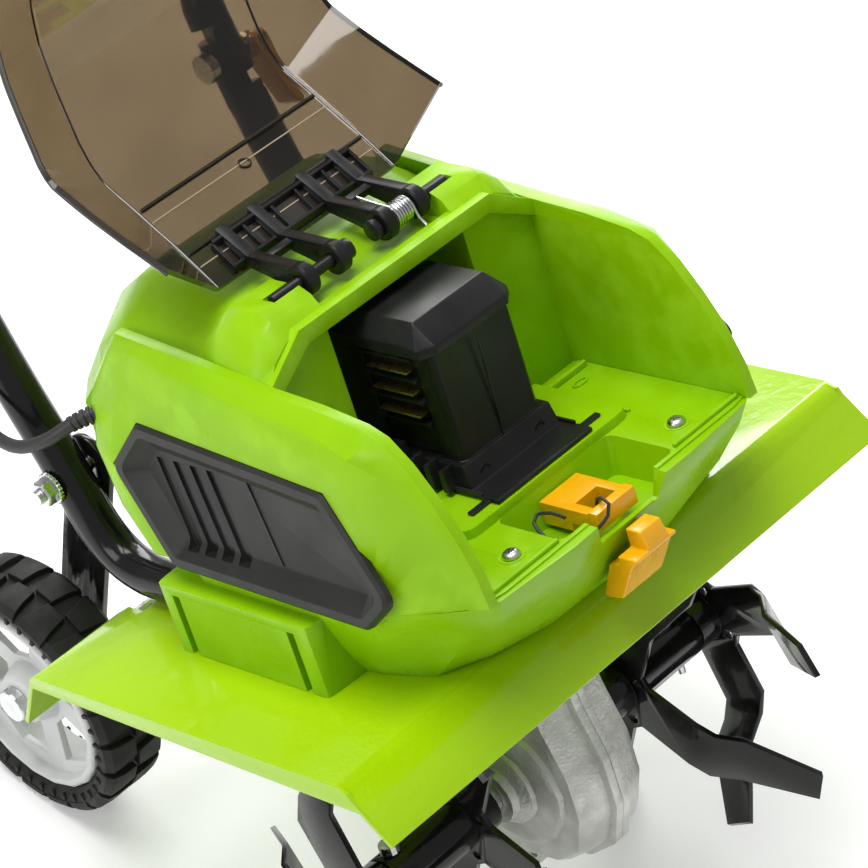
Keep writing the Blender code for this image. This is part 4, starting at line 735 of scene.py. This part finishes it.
def build_spring():
    """Torsion spring: fine coils with one leg on the cowl and a hooked leg over the lid arm."""
    wire, radius, pitch, turns, start = 0.75, 5.6, 1.7, 6.25, 21.1
    path = [(start - 0.9, HINGE.y + 19, HINGE.z + 8.5), (start - 0.6, HINGE.y + 12, HINGE.z + 7.2),
            (start - 0.3, HINGE.y + 5.5, HINGE.z + 6.2)]
    count = int(turns * 28)
    for i in range(count + 1):
        angle = pi / 2 + 2 * pi * i / 28
        path.append((start + pitch * i / 28, HINGE.y + radius * cos(angle), HINGE.z + radius * sin(angle)))
    end = start + pitch * turns
    path += [(end + 0.3, HINGE.y - radius - 0.3, HINGE.z - 2.6),
             (end + 0.5, HINGE.y - radius - 0.9, HINGE.z - 5.2),
             (end + 0.7, HINGE.y - radius - 4.5, HINGE.z - 8.6)]
    piece("spring_coil", pipe(path, wire, 10), "chassis", "zinc_steel", ("torsion_spring",))


# ---------------------------------------------------------------- wheels
AXLE = (346.8, -127.3)


def build_tyre(side, label):
    """Tyre with a rounded carcass and chunky blocks that wrap over its shoulders."""
    y, z = AXLE
    carcass = [(56, 97), (60, 94), (64, 93), (67.0, 96), (67.6, 104), (67.6, 120), (67.0, 128), (64, 131),
               (60, 130), (56, 127)]
    shapes = [turned(carcass, 96, y, z, side, closed=True)]
    blocks = 20
    for index in range(blocks):
        for half, near, far in ((0, 112.8, 131.6), (1, 111.2, 92.4)):
            middle = 2 * pi * (index + half * 0.5) / blocks
            rings = []
            for x, top, wide in ((near, 70.8, 0.085), ((near + far) / 2, 71.0, 0.105),
                                 (far + (3 if half else -3), 70.2, 0.125), (far, 66.5, 0.125)):
                ring = []
                for radius, spread in ((63.5, 1.12), (top, 1.0)):
                    for step in range(-2, 3):
                        angle = middle + wide * spread * step / 2 * (1 if radius < 65 else -1)
                        ring.append((side * x, y + radius * cos(angle), z + radius * sin(angle)))
                rings.append(ring)
            shapes.append(loft(rings))
    for index in range(blocks * 2):
        middle = 2 * pi * (index + 0.25) / (blocks * 2)
        for x in (130.3, 93.7):
            ring = []
            for radius in (58.5, 63.0):
                for spread in ((-0.02, 0.02) if radius < 60 else (0.02, -0.02)):
                    ring.append((radius, middle + spread))
            rings = [[(side * (x + lift), y + r * cos(a), z + r * sin(a)) for r, a in ring]
                     for lift in ((-0.8, 1.2) if x > 100 else (-1.2, 0.8))]
            shapes.append(loft(rings))
    mesh = own_mesh("tyre", *joined(*shapes))
    finish_piece("tyre_" + label + "_tread", mesh, "wheel_" + label, "tyre_rubber", ("tyre_" + label,),
                 0.5, 2, 40)


# ---------------------------------------------------------------- tubes and cables
TUBE_X = 99.0
HANDLE_ANGLE = radians(77.0)
HANDLE_LENGTH = 740.0
HANDLE_HALF = 128.0
HANDLE_BEND = 42.0
LOWER_ROUTE = [(150, -39.4), (180, -39.4), (216, -39.4), (233, -37.5), (247, -31), (257.5, -17), (266, 8),
               (273.5, 30.6), (281.4, 51.7), (290, 78), (297.5, 104)]


def handle_place(s, x=0.0, off=0.0):
    """A point s along the handle above the fold axis, off square to it."""
    return Vector((x, FOLD_AT.y + s * cos(HANDLE_ANGLE) + off * sin(HANDLE_ANGLE),
                   FOLD_AT.z + s * sin(HANDLE_ANGLE) - off * cos(HANDLE_ANGLE)))


def lap_block(x0, x1, s0, s1):
    """A block across the tube at its half lap."""
    corners = [handle_place(s, 0, off) for s, off in ((s0, -30), (s0, 30), (s1, 30), (s1, -30))]
    return along_x([(point.y, point.z) for point in corners], *sorted((x0, x1)))


def build_tubes():
    """Smooth gloss tubes with half-lap ends at the fold axis."""
    for side, label in ((-1, "left"), (1, "right")):
        route = [(side * TUBE_X, y, z) for y, z in LOWER_ROUTE]
        path = smooth_path(route, 6) + [handle_place(-19, side * TUBE_X), handle_place(11, side * TUBE_X)]
        mesh = own_mesh("lower_tube", *pipe(path, 11.0, 40))
        mesh = carved(mesh, lap_block(side * (TUBE_X - 0.15), side * (TUBE_X + 30), -19, 31))
        finish_piece("lower_tube_" + label + "_skin", mesh, "chassis", "black_paint",
                     ("lower_tube_" + label,))
    half = [handle_place(s, x) for s, x in ((-11, TUBE_X), (19, TUBE_X), (34, 101), (56, 113), (78, 124.5),
                                             (96, HANDLE_HALF))]
    half = [half[0]] + smooth_path(half[1:], 5)
    half += [handle_place(s, HANDLE_HALF) for s in (250, 400, 550)]
    for step in range(17):
        angle = pi / 2 * step / 16
        half.append(handle_place(HANDLE_LENGTH - HANDLE_BEND + HANDLE_BEND * sin(angle),
                                 HANDLE_HALF - HANDLE_BEND + HANDLE_BEND * cos(angle)))
    half.append(handle_place(HANDLE_LENGTH, 40))
    left = [Vector((-point.x, point.y, point.z)) for point in reversed(half)]
    mesh = own_mesh("upper_handle", *pipe(half + left, 11.0, 40))
    for side in (-1, 1):
        mesh = carved(mesh, lap_block(side * (TUBE_X - 30), side * (TUBE_X + 0.15), -42, 19))
    finish_piece("upper_handle_skin", mesh, "handle", "black_paint", ("upper_handle",))


CABLE_LOWER = [(-101, 212, 62), (-112, 221, 60.5), (-124, 235, 54), (-129, 254, 50), (-127, 276, 54),
               (-118, 296, 64), (-102, 308, 80), (-86, 312, 102), (-75, 309, 124), (-72, 306.3, 137)]


def build_cables():
    """Control cable: two stretches that the machine holds all the way, and a ribbed strain relief."""
    piece("cable_lower_skin", pipe(smooth_path(CABLE_LOWER, 4), 3.4, 20), "chassis", "cord_rubber",
          ("cable_lower",))
    upper = [handle_place(1.2, -72), handle_place(24, -75, 1), handle_place(60, -90, 3),
             handle_place(110, -108.5, 0),
             handle_place(160, -112.6, 0), handle_place(400, -112.6, 0), handle_place(600, -112.6, 0),
             handle_place(650, -108, 6), handle_place(690, -80, 14), handle_place(703, -50, 13),
             handle_place(704, -31.6, 12)]
    piece("cable_upper_skin", pipe(smooth_path(upper, 8), 3.4, 20), "handle", "cord_rubber", ("cable_upper",))
    relief = smooth_path(CABLE_LOWER, 1.6)[:14]
    shapes = []
    for index, (low, high) in enumerate(zip(relief[::2], relief[2::2])):
        shapes.append(pipe([low, low + (high - low) * 0.6], 5.0 - index * 0.18, 24))
    piece("strain_relief", joined(*shapes), "chassis", "cord_rubber", (), 0.3)


# ---------------------------------------------------------------- fasteners
def build_swing_bolts():
    """Zinc bolts through tube and bracket with serrated flange nuts outside."""
    y, z = SWING_AT
    for side, label in ((-1, "left"), (1, "right")):
        head = [(7.5, 77.5), (7.5, 82.9), (4.0, 82.9), (4.0, 110.3), (9.0, 110.3), (9.0, 112.0), (8.2, 113.0)]
        teeth = []
        for index in range(48):
            angle = 2 * pi * index / 48
            teeth.append((angle, 8.9 if index % 2 else 8.1))
        flange = [[(side * x, y + r * cos(a), z + r * sin(a)) for a, r in teeth] for x in (110.5, 112.6)]
        hexagon = turned([(7.2, 112.6), (7.2, 117.6), (6.4, 118.5)], 6, y, z, side)
        thread = []
        for index in range(12):
            thread += [(4.0, 118.4 + index * 0.3), (3.5, 118.55 + index * 0.3)]
        shapes = (turned(head[:4], 32, y, z, side), loft(flange), hexagon, turned(thread, 24, y, z, side))
        piece("swing_bolt_" + label, joined(*shapes), "chassis", "zinc_steel",
              ("bracket_bolt_" + label,), 0.3)


def build_bay_screws():
    """Pan-head cross screws."""
    for side, label in ((-1, "left"), (1, "right")):
        x = side * SCREW_X
        profile = [(2.2, -9), (2.2, 0.3), (4.5, 0.3), (4.6, 0.9), (4.3, 1.8), (3.5, 2.6), (2.4, 3.05),
                   (1.2, 3.2)]
        mesh = own_mesh("bay_screw", *upright(profile, 40, x, 0))
        for turn in (0.5, 2.07):
            arm = [(x + 2.5 * cos(turn) * a - 0.5 * sin(turn) * b, 2.5 * sin(turn) * a + 0.5 * cos(turn) * b)
                   for a, b in ((-1, -1), (1, -1), (1, 1), (-1, 1))]
            mesh = carved(mesh, along_z(arm, 1.5, 5))
        finish_piece("bay_screw_" + label + "_skin", mesh, "chassis", "zinc_steel",
                     ("bay_screw_" + label,), 0.15)


FLATNESS = {"upper_cowl": 0.05, "lower_tub": 0.05}     # degrees; curved shells keep their small faces
DEFAULT_FLATNESS = 0.6
build_camera()
LOOKS = build_materials()
build_stage()
build_lights()

# ---------------------------------------------------------------- pieces
for node, look_name, width, steps in (
        ("deck_panel", "lime_paint", 1.0, 3),
        ("lower_tub", "lime_plastic", 1.6, 3),
        ("upper_cowl", "lime_plastic", 1.6, 3),
        ("battery_receptacle", "black_plastic", 1.0, 3),
        ("lid_latch", "amber_plastic", 1.0, 3),
        ("safety_key", "amber_plastic", 1.4, 3),
        ("hinge_pin_left", "black_steel", 0.3, 2),
        ("hinge_pin_right", "black_steel", 0.3, 2),
        ("hinge_arm_left", "black_plastic", 1.0, 2),
        ("hinge_arm_right", "black_plastic", 1.0, 2),
        ("gearbox_half_left", "cast_aluminium", 1.2, 2),
        ("gearbox_half_right", "cast_aluminium", 1.2, 2),
        ("inner_tine_left", "black_paint", 0.5, 2),
        ("inner_tine_right", "black_paint", 0.5, 2),
        ("outer_tine_left", "black_paint", 0.5, 2),
        ("outer_tine_right", "black_paint", 0.5, 2),
        ("wheel_bracket_left", "black_paint", 0.6, 2),
        ("wheel_bracket_right", "black_paint", 0.6, 2),
        ("wheel_hub_left", "grey_plastic", 0.8, 2),
        ("wheel_hub_right", "grey_plastic", 0.8, 2),
        ("switch_box", "lime_plastic", 1.6, 3),
        ("cam_lever_left", "amber_plastic", 1.0, 2),
        ("cam_lever_right", "amber_plastic", 1.0, 2)):
    refined(node, look_name, width, steps, FLATNESS.get(node, DEFAULT_FLATNESS))

build_lid()
build_painted_fold_shade()
build_hinge_details()
build_spring()
build_bay_details()
build_receptacle_details()
build_bay_screws()
build_tubes()
build_cables()
build_swing_bolts()
for side, label in ((-1, "left"), (1, "right")):
    build_vent(side, label)
    build_tyre(side, label)

for node, obj in frame["nodes"].items():
    if obj.hide_render:
        continue
    slot = next(entry["material_slot"] for entry in frame["record"]["subparts"] if entry["node"] == node)
    obj.data.materials.clear()
    obj.data.materials.append(LOOKS[slot])
